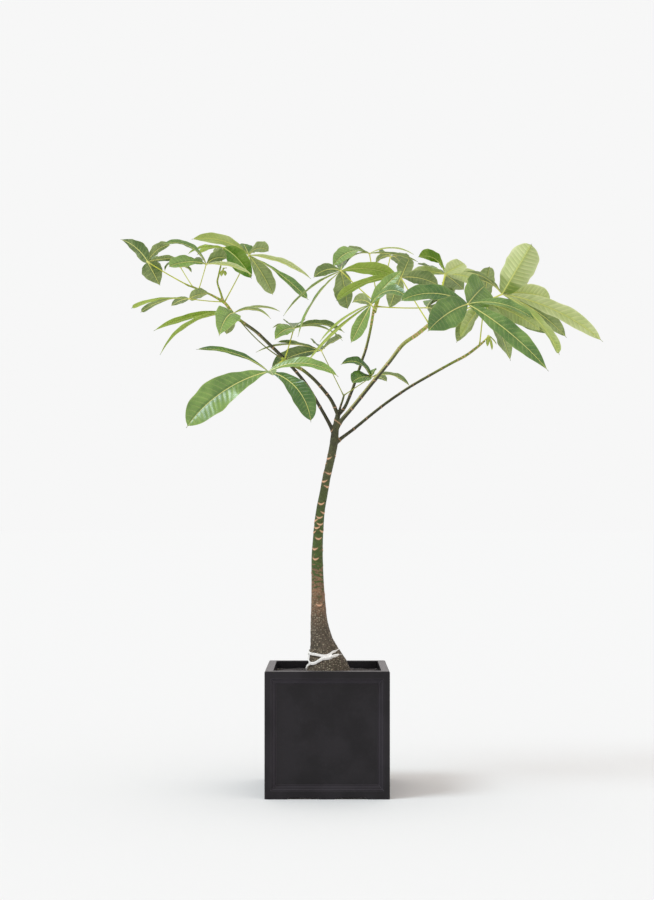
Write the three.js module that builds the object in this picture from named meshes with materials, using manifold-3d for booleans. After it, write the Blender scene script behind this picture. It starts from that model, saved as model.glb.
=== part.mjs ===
// A money tree in a square planter. Millimetres, +Z up, +X to the right, the front faces -Y.
// The origin is the middle of the planter's underside, where it stands.
import * as THREE from "three";
import { mergeVertices } from "three/addons/utils/BufferGeometryUtils.js";
import Module from "manifold-3d";

const wasm = await Module();
wasm.setup();

// ---- Driving dimensions ----
const PLANTER_WIDTH = 270;
const PLANTER_HEIGHT = 275;
const PLANTER_CORNER = 3;
const CORNER_SEGMENTS = 3;
const WALL = 18;
const FLOOR_TOP = 14;
const PANEL_SIDE_BORDER = 13.5;
const PANEL_TOP_BORDER = 16;
const PANEL_BOTTOM_BORDER = 18.5;
const PANEL_STEPS = 4;
const PANEL_STEP_WIDTH = 3;
const PANEL_STEP_DEPTH = 2.8;
const CORNER_FOOT = 48;
const MIDDLE_FOOT = 32;
const FOOT_HEIGHT = 4;
const FOOT_SLOPE = 4;
const DRAIN_RADIUS = 7;
const DRAIN_SIDES = 12;

const SOIL_BELOW_RIM = 19;
const SOIL_MOUND = 6;
// The angle by which the mound's cosine falls up to the wall.
const MOUND_FALL = 1.4;
// The clods are two waves: radians for each millimetre, the swing of the first and the start of the second.
const SOIL_CLOD = 1.3;
const CLOD_ACROSS = 0.11;
const CLOD_SWAY = 0.07;
const CLOD_SWING = 2;
const CLOD_ALONG = 0.13;
const CLOD_SLANT = 0.05;
const CLOD_START = 1;
const SOIL_GRID = 10;

const GAP = 0.35;
const TRUNK_SIDES = 14;
const BRANCH_SIDES = 7;
const TRUNK_FLUTES = 5;
const TRUNK_FLUTE_DEPTH = 0.035;
const TRUNK_FLUTE_START = 0.6;
// The radii between which the flutes fade in.
const TRUNK_FLUTE_FADE = [14, 40];

const TIE_WIDTH = 6;
const TIE_THICK = 2;
const TIE_STEPS = 16;

const BLADE_THICK = 0.8;
const BLADE_SEGMENTS = 5;
const BLADE_FOLD = 0.16;
const BLADE_WAVES = 2.5;
const BLADE_WAVE = 0.045;
// Where the waves start, and how far on they are for the next leaflet and for a blade's other edge.
const WAVE_START = 0.9;
const WAVE_STEP = 1.7;
const WAVE_EDGE = 0.8;
// How slowly a blade widens from its base and narrows to its tip, and how much less slowly where it is full.
const BLADE_BASE_POWER = 1.25;
const BLADE_TIP_POWER = 0.9;
const BLADE_FULLNESS = 0.65;
// Half the width of a blade's narrow ends, and the share by which it is less at the tip.
const BLADE_STALK = 0.8;
const STALK_TAPER = 0.45;
// How much thicker the midrib is at the base.
const RIB_SWELL = 1.2;
// The shares of a blade's length where its midrib's guide points stand, and the part of their height that
// the curve reaches.
const MIDRIB_GUIDES = [0.3, 0.7];
const MIDRIB_REACH = 0.75;
const PETIOLE_RADIUS = 1.6;
// Shares of a petiole's length, and how thick it is there.
const PETIOLE_SHARES = [0, 0.1, 0.5, 0.92, 1];
const PETIOLE_SWELLS = [1.6, 1.2, 1, 1.1, 1.3];
const PETIOLE_SIDES = 5;
const PETIOLE_BOW = 0.03;
const HUB_RADIUS = 3.4;

// ---- The reference view ----
// Places on the plant are written as they look from the front: pixels across and down a picture
// 654 wide and 900 high, and a depth in millimetres behind the planter's middle.
const EYE_DISTANCE = 3345;
const EYE_HEIGHT = 589;
const PIXELS_PER_SLOPE = 1494;
const MIDDLE_ACROSS = 327.2;
const HORIZON_DOWN = 525.4;

// ---- The wood: across, down, depth, radius ----
const TRUNK = [
  [330.5, 705, 0, 20],
  [329.5, 694, 0, 36],
  [328.5, 683, 0, 47],
  [328, 674, 0, 50],
  [326.6, 664.5, 0, 44],
  [324.8, 656, 0, 36.5],
  [323, 648, 0, 30.5],
  [321, 637, 0, 24],
  [319.1, 621, 0, 19],
  [318.4, 605, 0, 16.2],
  [317.6, 581, 0, 13.8],
  [317.2, 557.6, 0, 12.7],
  [317.8, 541.6, 0, 11.5],
  [318.9, 525.7, 0, 10.7],
  [320.6, 509.7, 0, 9.8],
  [323.6, 493.8, 0, 9.3],
  [326.5, 477.8, 0, 9],
  [330.2, 461.9, 0, 8.9],
  [333.4, 446, 0, 9.1],
  [334.6, 436, 0, 8.8],
  [335.6, 428, 0, 7.6],
  [337, 420, 0, 6.2],
  [338.4, 412, 0, 5.2],
];

const BRANCHES = {
  left_long: [
    [334, 436, 0, 5.4],
    [331, 427, 3, 4.4],
    [320.2, 407.3, 12, 3.8],
    [306.1, 384.2, 26, 3.7],
    [292, 367, 38, 3.7],
    [283, 357.5, 44, 4.1],
    [269.1, 344, 50, 3.8],
    [256.5, 332.1, 56, 3.8],
    [243.9, 323, 60, 3.7],
    [235, 316, 60, 3.7],
    [227, 305.4, 58, 3.5],
    [222.3, 301.2, 56, 3.4],
    [210.3, 294.5, 50, 2.4],
    [195.7, 288.1, 44, 2.2],
    [188.4, 285.6, 40, 2],
  ],
  left_short: [
    [338.4, 416, 0, 4.6],
    [332.1, 401.7, -8, 4],
    [325.1, 391.9, -14, 3.9],
    [314.6, 380, -18, 3.8],
    [304, 370.9, -20, 3.8],
    [297, 367, -20, 3.7],
    [289, 363, -17, 3.6],
    [281.5, 358, -12, 3.3],
  ],
  middle: [
    [338.2, 415, 0, 4.6],
    [344.7, 407.3, 6, 3.8],
    [350.3, 394.7, 14, 3.5],
    [353.8, 385.6, 18, 3.4],
    [362.3, 359.6, 22, 3.3],
    [365.8, 349.1, 20, 3.2],
    [370.2, 330.7, 12, 3.1],
    [374.1, 309, 2, 3.2],
    [377.9, 300.8, -2, 3],
  ],
  right_upper: [
    [336.4, 429, 0, 5.6],
    [341, 421, -6, 4.9],
    [353.1, 406.6, -28, 4.6],
    [379.1, 374.4, -62, 4.4],
    [390, 361, -74, 4.3],
    [402.8, 344.6, -88, 4.3],
    [416.6, 334.7, -100, 4.2],
    [426.5, 326.8, -106, 4.1],
    [437, 318.5, -110, 3.6],
  ],
  right_lower: [
    [334.4, 444.5, 0, 5.4],
    [341, 438.5, 4, 4.2],
    [354.5, 428.4, 10, 3.6],
    [374.2, 412.3, 18, 3.4],
    [390, 400.3, 24, 3.3],
    [409.7, 387, 30, 3.2],
    [426.5, 377.2, 34, 3.2],
    [450, 364, 36, 3.1],
    [466, 355.4, 38, 3.2],
    [478, 346.5, 38, 2.9],
    [484.9, 340.6, 36, 2.2],
  ],
  shoot: [
    [338.6, 414, 0, 3.6],
    [340.5, 406.6, -14, 2.6],
    [342.6, 400.3, -20, 2.4],
    [344.2, 394.5, -24, 2.2],
  ],
  left_top: [
    [223.6, 302.4, 57, 3],
    [220.2, 291.6, 57, 2.4],
    [217.4, 282.5, 59, 2.2],
    [218.4, 276.3, 60, 2.1],
    [220.5, 267, 62, 2],
  ],
};

// ---- The leaves ----
// hub and petiole are places. Each leaflet has the tip's across and down, how much deeper the tip lies than
// the hub, the blade's width, how high its midrib arches over the straight line, and its face: the degrees
// that its upper side turns from the sky to the viewer. Then, where it has them, its sweep to the viewer's
// side, how many degrees it twists up to the tip, and how full it is at its base and at its tip.
const LEAVES = {
  left_outer: {
    hub: [147.6, 261.8, 25],
    petiole: [188.9, 285.8, 40.3],
    leaflets: [
      [120.5, 239.4, 30, 36, 8, -70, 0, 0, 1, -0.5],
      [170.5, 245, 50, 28, 9, -60, 0, 0, 0.6, 0.2],
      [176, 259, 30, 17, 3, -40, 0, 0, 0, 0.3],
      [160.2, 285.8, 25, 46, 0, -62, 0, 20, 0.8, -0.5],
      [152, 257.5, 120, 34, 6, -10],
    ],
  },
  left_rear: {
    hub: [180.4, 267, 70],
    petiole: [193, 287.2, 43],
    leaflets: [
      [164.7, 271, -20, 18, 14, 0],
      [191.5, 272.5, 10, 12, 6, -10],
      [172, 262, 95, 34, 8, -10],
      [203, 263, 80, 32, 8, -10],
      [188, 268, 120, 34, 6, -10],
    ],
  },
  left_front: {
    hub: [206.2, 264.3, -10],
    petiole: [198.8, 289.5, 45.5],
    leaflets: [
      [168.7, 267.1, -55, 37, 8, 45, 0, 0, 0.1, 0.5],
      [161.5, 244.8, -20, 25, 22, 35],
      [227.5, 258.7, 30, 42, 8, -35],
      [252.4, 275.6, -30, 18, 10, -25],
    ],
  },
  left_high: {
    hub: [223.7, 247.8, 60],
    petiole: [220.5, 267.4, 62],
    leaflets: [
      [188, 254, -10, 26, 9, 15],
      [251.7, 279, -60, 44, 8, 70, 0, 0, 0.5, 0.1],
      [197, 255, -50, 22, 6, 15],
      [219, 262, 115, 36, 4, -10],
    ],
  },
  left_top_pale: {
    hub: [248.9, 255.2, 90],
    petiole: [224.5, 302, 57],
    leaflets: [
      [191.4, 239.4, -20, 28, 16, -45],
      [268.8, 251.5, 50, 34, 12, -40, 0, 0, 0.6, 0.4],
      [243.5, 243.5, 25, 32, 0, 0, 0, 0, 0.5, 0.4],
      [311, 279, -20, 24, 12, -22],
      [273, 295.2, 10, 39, 4, -62, 0, 0, 0.2, 0.3],
      [308.5, 300, -50, 24, 8, 0, 0, 60, -1, 0.4],
    ],
  },
  left_mid: {
    hub: [233.9, 313.1, -25],
    petiole: [281.5, 358, -12],
    leaflets: [
      [153.5, 331, -20, 20, 12, -32],
      [160, 355, -50, 22, 27, -22],
      [219, 336.5, -95, 60, 13, 30, 0, 0, 0.9, -0.3],
      [226.5, 334.5, 15, 28, 2, -30],
      [280, 311.5, 30, 9, 12, -20],
      [271, 319, -35, 14, 15, -25],
    ],
  },
  left_low_small: {
    hub: [189.4, 298.7, 0],
    petiole: [223, 301.8, 56],
    leaflets: [
      [131, 308.5, -20, 12, 10, 5, 0, 55, -0.5, 0.9],
      [140.5, 312.6, 20, 13, 12, 0, 0, -55, -0.5, 0.9],
      [171, 306, 65, 17, 4, -40, 0, 0, 0.3],
      [210, 295.4, 55, 30, 4, -50, 0, 0, 0.8, -0.3],
    ],
  },
  left_large: {
    hub: [268.5, 371.8, -100],
    petiole: [283.5, 359.6, -13],
    leaflets: [
      [186, 428.3, -45, 70, 20, 60, 0, 0, 0.1, 0.35],
      [196, 349.5, 10, 21, 16, 35, 0, 0, 0, 0.3],
      [311, 422.8, -45, 45, 25, 62, 0, 0, -0.3, 0.3],
      [338.6, 377, -30, 30, 24, 38, 0, 0, 0.4],
      [273, 375.5, -90, 24, 4, 10],
    ],
  },
  mid_rear: {
    hub: [321.2, 350.5, 45],
    petiole: [343.8, 396, -23],
    leaflets: [
      [271, 368, 40, 38, 10, -40, 0, 0, 0.3, 0.2],
      [277.5, 342, 10, 20, 4, -15, 0, 0, 0, 0.6],
      [342.5, 337.6, 70, 34, 4, -40, 0, 0, 0.5],
      [313.5, 343, 90, 36, 4, -30],
      [255.8, 352.4, 20, 12, 16, -10],
    ],
  },
  mid_upper: {
    hub: [293.7, 328.8, 50],
    petiole: [284.5, 360, -13],
    leaflets: [
      [274.7, 339.8, -60, 34, 8, 35, 0, 0, 0.5, -0.3],
      [272.6, 327.9, 20, 14, 8, 0],
      [344.5, 332.7, -10, 28, 16, -20],
      [342.5, 340.6, -50, 16, 18, -5],
      [287, 323, 100, 34, 4, -20],
      [302.5, 322.5, 105, 34, 4, -20],
    ],
  },
  mid_small: {
    hub: [371, 377.3, -22],
    petiole: [344.3, 395, -24],
    leaflets: [
      [340.5, 364.7, -45, 30, 20, 45, 0, 0, 0.8, -0.2],
      [351.8, 383, -70, 38, 6, 35, 0, 0, 0.4, 0.2],
      [410, 386.5, 30, 22, 16, -10],
      [387, 381.6, 60, 20, 6, -20],
      [374.5, 368.8, 15, 22, 0, -20, 0, 0, 0.3, 0.6],
    ],
  },
  top_mid: {
    hub: [369.5, 253.5, 110],
    petiole: [377.9, 300.9, -2],
    leaflets: [
      [332.4, 267.4, -80, 39, 19, 5, 0, 50],
      [345, 265.7, -40, 10, 12, 0],
      [413.7, 254.6, 10, 7, 14, -10],
      [418, 262, -10, 12, 8, -20],
      [346, 249.5, 60, 22, 4, -25],
    ],
  },
  top_rear: {
    hub: [390.5, 256.5, 150],
    petiole: [375.4, 312.5, 3],
    leaflets: [
      [375.6, 263.8, -20, 24, 8, -45],
      [402, 266, 60, 26, 8, -20],
      [410, 262, 80, 26, 6, -20],
      [380, 254, 85, 26, 6, -20],
    ],
  },
  upper_left: {
    hub: [341, 271, 10],
    petiole: [377.1, 304, -1],
    leaflets: [
      [313.4, 277.8, 45, 29, 11, -45],
      [343.5, 257.5, 100, 26, 2, -20],
      [398.5, 277.8, 25, 33, 12, -50, 0, 0, 0.1, 0.2],
      [347.8, 309.4, 60, 50, 4, -50, 0, 0, 0.8, 0.4],
      [283.2, 316.2, -30, 18, 12, -10],
      [297.9, 337, -45, 22, 15, -10],
    ],
  },
  upper_mid: {
    hub: [401, 277.6, -50],
    petiole: [429.5, 324.4, -107.2],
    leaflets: [
      [336, 300.8, -25, 25, 16, -38, 0, 0, 0, 0.8],
      [411, 256.8, -20, 38, 0, -25, 0, 0, 0.9, 0.6],
      [439, 286, 45, 38, 8, -45],
      [389.5, 308.4, 40, 36, 2, -45, 0, 0, 0.3],
    ],
  },
  middle_front: {
    hub: [371, 304.3, -100],
    petiole: [375.8, 310, 1.5],
    leaflets: [
      [352, 302.8, 30, 30, 8, -45, 0, 0, 0.4, -0.2],
      [402.5, 270.5, 20, 29, 4, 60, 0, 0, 0.5],
      [407, 297.5, -65, 27, 22, 50],
      [319.8, 342, -40, 7, 10, 30],
      [306.9, 362.8, -60, 8, 9, 35],
      [350.8, 343, -60, 28, 0, 50, 0, 0, -0.2, 0.1],
    ],
  },
  rear_right: {
    hub: [427, 307.7, 60],
    petiole: [376.5, 306.4, 0],
    leaflets: [
      [455, 297, 90, 40, 8, -20],
      [463, 310, 100, 42, 8, -20],
      [450, 322, 80, 40, 8, -30],
      [437, 300, 120, 38, 8, -20],
    ],
  },
  upper_right: {
    hub: [445.2, 274.4, 0],
    petiole: [432.8, 321.8, -108.4],
    leaflets: [
      [417.5, 257.3, 50, 38, 18, -42],
      [464.5, 263.5, -60, 35, 2, -25, 0, 0, 1, 0.9],
      [406.8, 277.5, 30, 28, 9, -42],
      [484.2, 284.7, 60, 35, 8, -45],
      [455, 292, 130, 36, 0, -40],
      [464, 290, 90, 36, 2, -40],
      [417.5, 264, 110, 30, 3, -10],
    ],
  },
  right_rear: {
    hub: [484, 303, 60],
    petiole: [479.5, 345.4, 38],
    leaflets: [
      [489.5, 266.3, -30, 46, 2, 10, 0, 0, 1, 0.7],
      [456.3, 342.8, 5, 42, 4, -50],
      [460.1, 338, -30, 48, 4, -55],
      [509.8, 360, -30, 54, 6, -60, 0, 0, 0, -0.3],
      [541, 331.5, 15, 44, 10, -52],
      [547.6, 334.5, 60, 40, 8, -50],
    ],
  },
  right_far: {
    hub: [502.1, 294.2, -30],
    petiole: [437.3, 318.3, -110.1],
    leaflets: [
      [532, 243.6, -40, 77, 0, -80, 0, 0, 0.9, 0.7],
      [551, 300, 40, 42, 9, -50, 0, 0, 0.3, 0.4],
      [603, 342, -20, 39, 18, -52, 0, 0, 0.2, 0.2],
      [566.8, 338, 60, 42, 12, -45],
      [559.5, 355.3, -60, 31, 18, -45, 0, 0, -0.3, 0.9],
      [464.3, 271.5, 20, 22, 12, -10],
      [470, 278.5, 40, 28, 10, -20],
    ],
  },
  front_large: {
    hub: [467.7, 304.2, -190],
    petiole: [435.3, 319.8, -109.4],
    leaflets: [
      [483, 286.3, 45, 72, 2, 75, 0, 0, 0.9, 0.8],
      [399.4, 301.6, -20, 44, 20, 55, 0, 0, 0, 0.2],
      [427.6, 331.8, -50, 65, 8, 75, 0, 0, 0.4, -0.1],
      [536, 321.4, -20, 32, 18, 40],
      [548.8, 371.6, -50, 47, 10, 68, 0, 0, 0.1, -0.3],
    ],
  },
  young_left: {
    hub: [222.8, 270.6, 56],
    petiole: [219.2, 272.5, 61.2],
    leaflets: [
      [226.5, 268.4, -8, 7, 3, 10],
      [225, 276, -6, 8, 3, 10],
      [221.5, 276.5, -8, 7, 2, 0],
    ],
  },
  young_right: {
    hub: [488.5, 336, 35],
    petiole: [483.5, 341.6, 36],
    leaflets: [
      [491.9, 350.3, -8, 7, 2, 0],
      [496.5, 344.5, 10, 12, 2, 30],
      [487.5, 346.5, 14, 7, 2, 0],
    ],
  },
};

// ---- The tie ----
// Each turn round the trunk has how far out it lies, and its height at eight places from the left over the
// front, the right and the back.
const TIE_TURNS = [
  { further: 0, heights: [308, 303, 300, 308, 311, 308, 306, 307] },
  { further: 0, heights: [268, 283, 296.5, 300, 301, 298, 288, 275] },
  { further: 0.6, heights: [304, 282, 294, 299, 299, 296, 292, 300] },
];
// The flat cord's section, as shares of half its thickness and half its width.
const TIE_SECTION = [[1, 0.5], [0, 1], [-1, 0.5], [-1, -0.5], [0, -1], [1, -0.5]];
const TIE_KNOT = [331.5, 655];
const TIE_KNOT_SIZE = [7, 4.2, 5.6];
const TIE_KNOT_SIDES = 10;
const TIE_KNOT_BANDS = 6;

// ---- Solids ----
const UP = new THREE.Vector3(0, 0, 1);
const TO_VIEWER = new THREE.Vector3(0, -1, 0);
const FULL_TURN = 2 * Math.PI;

// The place seen at some pixels across and down the reference view, at a depth.
function seen([across, down, depth]) {
  const reach = (EYE_DISTANCE + depth) / PIXELS_PER_SLOPE;
  const x = (across - MIDDLE_ACROSS) * reach;
  const z = EYE_HEIGHT + (HORIZON_DOWN - down) * reach;
  return new THREE.Vector3(x, depth, z);
}

// Faces that shrink to a line where points meet are left out.
function solidOf(geometry) {
  const bare = geometry.clone();
  bare.deleteAttribute("normal");
  bare.deleteAttribute("uv");
  const merged = mergeVertices(bare, 1e-4);
  const vertProperties = new Float32Array(merged.attributes.position.array);
  const corners = merged.index.array;
  const kept = [];
  for (let i = 0; i < corners.length; i += 3) {
    const [a, b, c] = corners.slice(i, i + 3);
    if (a !== b && b !== c && c !== a) {
      kept.push(a, b, c);
    }
  }
  const triVerts = new Uint32Array(kept);
  return new wasm.Manifold(new wasm.Mesh({ numProp: 3, vertProperties, triVerts }));
}

function meshOf(name, solid, material) {
  const { vertProperties, triVerts } = solid.getMesh();
  const geometry = new THREE.BufferGeometry();
  geometry.setAttribute("position", new THREE.BufferAttribute(new Float32Array(vertProperties), 3));
  geometry.setIndex(new THREE.BufferAttribute(new Uint32Array(triVerts), 1));
  geometry.computeVertexNormals();
  const mesh = new THREE.Mesh(geometry, material);
  mesh.name = name;
  return mesh;
}

function joined(solids) {
  return solids.reduce((whole, next) => whole.add(next));
}

// The largest of the pieces that a cut leaves.
function largest(solid) {
  return solid.decompose().reduce((best, piece) => (piece.volume() > best.volume() ? piece : best));
}

// A closed skin over rings with the same number of points. A loop joins its last ring to its first.
// On a mirrored side the four-cornered faces are split along their other diagonal.
function skin(rings, { loop = false, mirrored = () => false } = {}) {
  const sides = rings[0].length;
  const faces = [];
  const lengths = loop ? rings.length : rings.length - 1;
  for (let r = 0; r < lengths; r += 1) {
    const near = r * sides;
    const far = ((r + 1) % rings.length) * sides;
    for (let k = 0; k < sides; k += 1) {
      const next = (k + 1) % sides;
      if (mirrored(k)) {
        faces.push(near + k, near + next, far + k);
        faces.push(near + next, far + next, far + k);
      } else {
        faces.push(near + k, near + next, far + next);
        faces.push(near + k, far + next, far + k);
      }
    }
  }
  if (!loop) {
    const end = (rings.length - 1) * sides;
    for (let k = 1; k < sides - 1; k += 1) {
      faces.push(0, k + 1, k);
      faces.push(end, end + k, end + k + 1);
    }
  }
  const geometry = new THREE.BufferGeometry().setFromPoints(rings.flat());
  geometry.setIndex(faces);
  return solidOf(geometry);
}

// A round limb through stations of [place, radius].
function limb(stations, sides, swell = () => 1) {
  const places = stations.map(([place]) => place);
  let across = new THREE.Vector3(1, 0, 0);
  const rings = stations.map(([place, radius], i) => {
    const before = places[Math.max(i - 1, 0)];
    const after = places[Math.min(i + 1, places.length - 1)];
    const along = after.clone().sub(before).normalize();
    across = across.clone().addScaledVector(along, -across.dot(along)).normalize();
    const aside = new THREE.Vector3().crossVectors(along, across);
    return Array.from({ length: sides }, (_, k) => {
      const angle = (k / sides) * FULL_TURN;
      const reach = radius * swell(angle, radius);
      const point = place.clone().addScaledVector(across, Math.cos(angle) * reach);
      return point.addScaledVector(aside, Math.sin(angle) * reach);
    });
  });
  return skin(rings);
}

// ---- The planter ----
function roundedSquare(width, corner) {
  const inner = width / 2 - corner;
  const shape = new THREE.Shape();
  const middles = [[inner, inner], [-inner, inner], [-inner, -inner], [inner, -inner]];
  middles.forEach(([x, y], quarter) => {
    const start = (quarter * Math.PI) / 2;
    shape.absarc(x, y, corner, start, start + Math.PI / 2, false);
  });
  shape.closePath();
  return shape;
}

function block(width, corner, bottom, top) {
  const options = { depth: top - bottom, bevelEnabled: false, curveSegments: CORNER_SEGMENTS };
  return solidOf(new THREE.ExtrudeGeometry(roundedSquare(width, corner), options).translate(0, 0, bottom));
}

function panelCuts() {
  const cuts = [];
  for (let step = 0; step < PANEL_STEPS; step += 1) {
    const inset = step * PANEL_STEP_WIDTH;
    const depth = (step + 1) * PANEL_STEP_DEPTH;
    const width = PLANTER_WIDTH - 2 * (PANEL_SIDE_BORDER + inset);
    const bottom = PANEL_BOTTOM_BORDER + inset;
    const top = PLANTER_HEIGHT - PANEL_TOP_BORDER - inset;
    const box = new THREE.BoxGeometry(width, 2 * depth, top - bottom);
    box.translate(0, -PLANTER_WIDTH / 2, (bottom + top) / 2);
    for (let side = 0; side < 4; side += 1) {
      cuts.push(solidOf(box.clone().rotateZ((side * Math.PI) / 2)));
    }
  }
  return cuts;
}

// The channels between the feet run right under the planter, both ways, with sloped ends.
function footChannels() {
  const low = MIDDLE_FOOT / 2;
  const high = PLANTER_WIDTH / 2 - CORNER_FOOT;
  const outline = new THREE.Shape([
    new THREE.Vector2(low - FOOT_SLOPE, -FOOT_HEIGHT),
    new THREE.Vector2(high + FOOT_SLOPE, -FOOT_HEIGHT),
    new THREE.Vector2(high - FOOT_SLOPE, FOOT_HEIGHT),
    new THREE.Vector2(low + FOOT_SLOPE, FOOT_HEIGHT),
  ]);
  const reach = PLANTER_WIDTH + 2 * WALL;
  const channel = new THREE.ExtrudeGeometry(outline, { depth: reach, bevelEnabled: false });
  channel.translate(0, 0, -reach / 2).rotateX(Math.PI / 2);
  return [0, 1, 2, 3].map((side) => solidOf(channel.clone().rotateZ((side * Math.PI) / 2)));
}

function drains() {
  const place = (MIDDLE_FOOT / 2 + PLANTER_WIDTH / 2 - CORNER_FOOT) / 2;
  const depth = 3 * FLOOR_TOP;
  const drain = new THREE.CylinderGeometry(DRAIN_RADIUS, DRAIN_RADIUS, depth, DRAIN_SIDES);
  drain.rotateX(Math.PI / 2);
  const corners = [[place, place], [-place, place], [-place, -place], [place, -place]];
  return corners.map(([x, y]) => solidOf(drain.clone().translate(x, y, 0)));
}

function planterSolid() {
  const body = block(PLANTER_WIDTH, PLANTER_CORNER, 0, PLANTER_HEIGHT);
  const inside = block(PLANTER_WIDTH - 2 * WALL, PLANTER_CORNER, FLOOR_TOP, PLANTER_HEIGHT + WALL);
  const cuts = joined([inside, ...panelCuts(), ...footChannels(), ...drains()]);
  return body.subtract(cuts);
}

// ---- The soil ----
function soilHeight(x, y) {
  const reach = PLANTER_WIDTH / 2 - WALL;
  const mound = SOIL_MOUND * Math.cos((x / reach) * MOUND_FALL) * Math.cos((y / reach) * MOUND_FALL);
  const first = Math.sin(x * CLOD_ACROSS + CLOD_SWING * Math.sin(y * CLOD_SWAY));
  const second = Math.sin(y * CLOD_ALONG - x * CLOD_SLANT + CLOD_START);
  return PLANTER_HEIGHT - SOIL_BELOW_RIM + mound + (first + second) * SOIL_CLOD;
}

function soilSolid(wood) {
  const width = PLANTER_WIDTH - 2 * (WALL + GAP);
  const bottom = FLOOR_TOP + GAP;
  const fill = new THREE.BoxGeometry(width, width, 1, SOIL_GRID, SOIL_GRID, 1);
  const spots = fill.attributes.position;
  for (let i = 0; i < spots.count; i += 1) {
    const height = spots.getZ(i) > 0 ? soilHeight(spots.getX(i), spots.getY(i)) : bottom;
    spots.setZ(i, height);
  }
  const corners = block(width, PLANTER_CORNER, 0, 2 * PLANTER_HEIGHT);
  return solidOf(fill).intersect(corners).subtract(wood);
}

// ---- The wood ----
// The foot of the trunk has shallow flutes, which fade where the trunk is slim.
function trunkSwell(angle, radius) {
  const fade = THREE.MathUtils.smoothstep(radius, ...TRUNK_FLUTE_FADE);
  return 1 + TRUNK_FLUTE_DEPTH * fade * Math.cos(TRUNK_FLUTES * angle + TRUNK_FLUTE_START);
}

// A line's stations, thicker by the extra and longer by it at both ends.
function stationsOf(line, extra) {
  const places = line.map(seen);
  const last = places.length - 1;
  const start = places[0].clone().sub(places[1]).setLength(extra);
  const end = places[last].clone().sub(places[last - 1]).setLength(extra);
  places[0].add(start);
  places[last].add(end);
  return places.map((place, i) => [place, line[i][3] + extra]);
}

function woodSolid(extra) {
  const trunk = limb(stationsOf(TRUNK, extra), TRUNK_SIDES, trunkSwell);
  const branches = Object.values(BRANCHES).map((line) => limb(stationsOf(line, extra), BRANCH_SIDES));
  return joined([trunk, ...branches]);
}

// The trunk's axis and radius at a height.
function trunkAt(height) {
  const places = TRUNK.map((spot) => ({ place: seen(spot), radius: spot[3] }));
  const upper = places.findIndex(({ place }) => place.z >= height);
  const [low, high] = [places[upper - 1], places[upper]];
  const share = (height - low.place.z) / (high.place.z - low.place.z);
  const middle = low.place.clone().lerp(high.place, share);
  return { middle, radius: THREE.MathUtils.lerp(low.radius, high.radius, share) };
}

// ---- The tie ----
function tieTurn({ further, heights }) {
  const rings = [];
  for (let step = 0; step < TIE_STEPS; step += 1) {
    const angle = (step / TIE_STEPS) * FULL_TURN - Math.PI;
    const place = (step / TIE_STEPS) * heights.length;
    const before = Math.floor(place);
    const share = THREE.MathUtils.smoothstep(place - before, 0, 1);
    const height = THREE.MathUtils.lerp(heights[before], heights[(before + 1) % heights.length], share);
    const { middle, radius } = trunkAt(height);
    const outward = new THREE.Vector3(Math.cos(angle), Math.sin(angle), 0);
    const reach = radius * trunkSwell(angle, radius) + GAP + further + TIE_THICK / 2;
    const middleLine = middle.clone().addScaledVector(outward, reach);
    rings.push(TIE_SECTION.map(([out, rise]) => {
      const point = middleLine.clone().addScaledVector(outward, (out * TIE_THICK) / 2);
      return point.addScaledVector(UP, (-rise * TIE_WIDTH) / 2);
    }));
  }
  return skin(rings, { loop: true });
}

function tieSolid(wood) {
  const [across, down] = TIE_KNOT;
  const front = seen([across, down, 0]);
  const { middle, radius } = trunkAt(front.z);
  const side = front.x - middle.x;
  const knotDepth = -Math.sqrt(radius * radius - side * side);
  const knot = new THREE.SphereGeometry(1, TIE_KNOT_SIDES, TIE_KNOT_BANDS).scale(...TIE_KNOT_SIZE);
  const knotPlace = seen([across, down, knotDepth]);
  knot.translate(knotPlace.x, knotPlace.y, knotPlace.z);
  return largest(joined([...TIE_TURNS.map(tieTurn), solidOf(knot)]).subtract(wood));
}

// ---- The leaves ----
// The share of a blade's full width at a share of its length, widest a little past the middle.
function widthShare(along, base, tip) {
  const basePower = BLADE_BASE_POWER - BLADE_FULLNESS * base;
  const tipPower = BLADE_TIP_POWER - BLADE_FULLNESS * tip;
  const spread = (share) => share ** basePower * (1 - share) ** tipPower;
  return spread(along) / spread(basePower / (basePower + tipPower));
}

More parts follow.
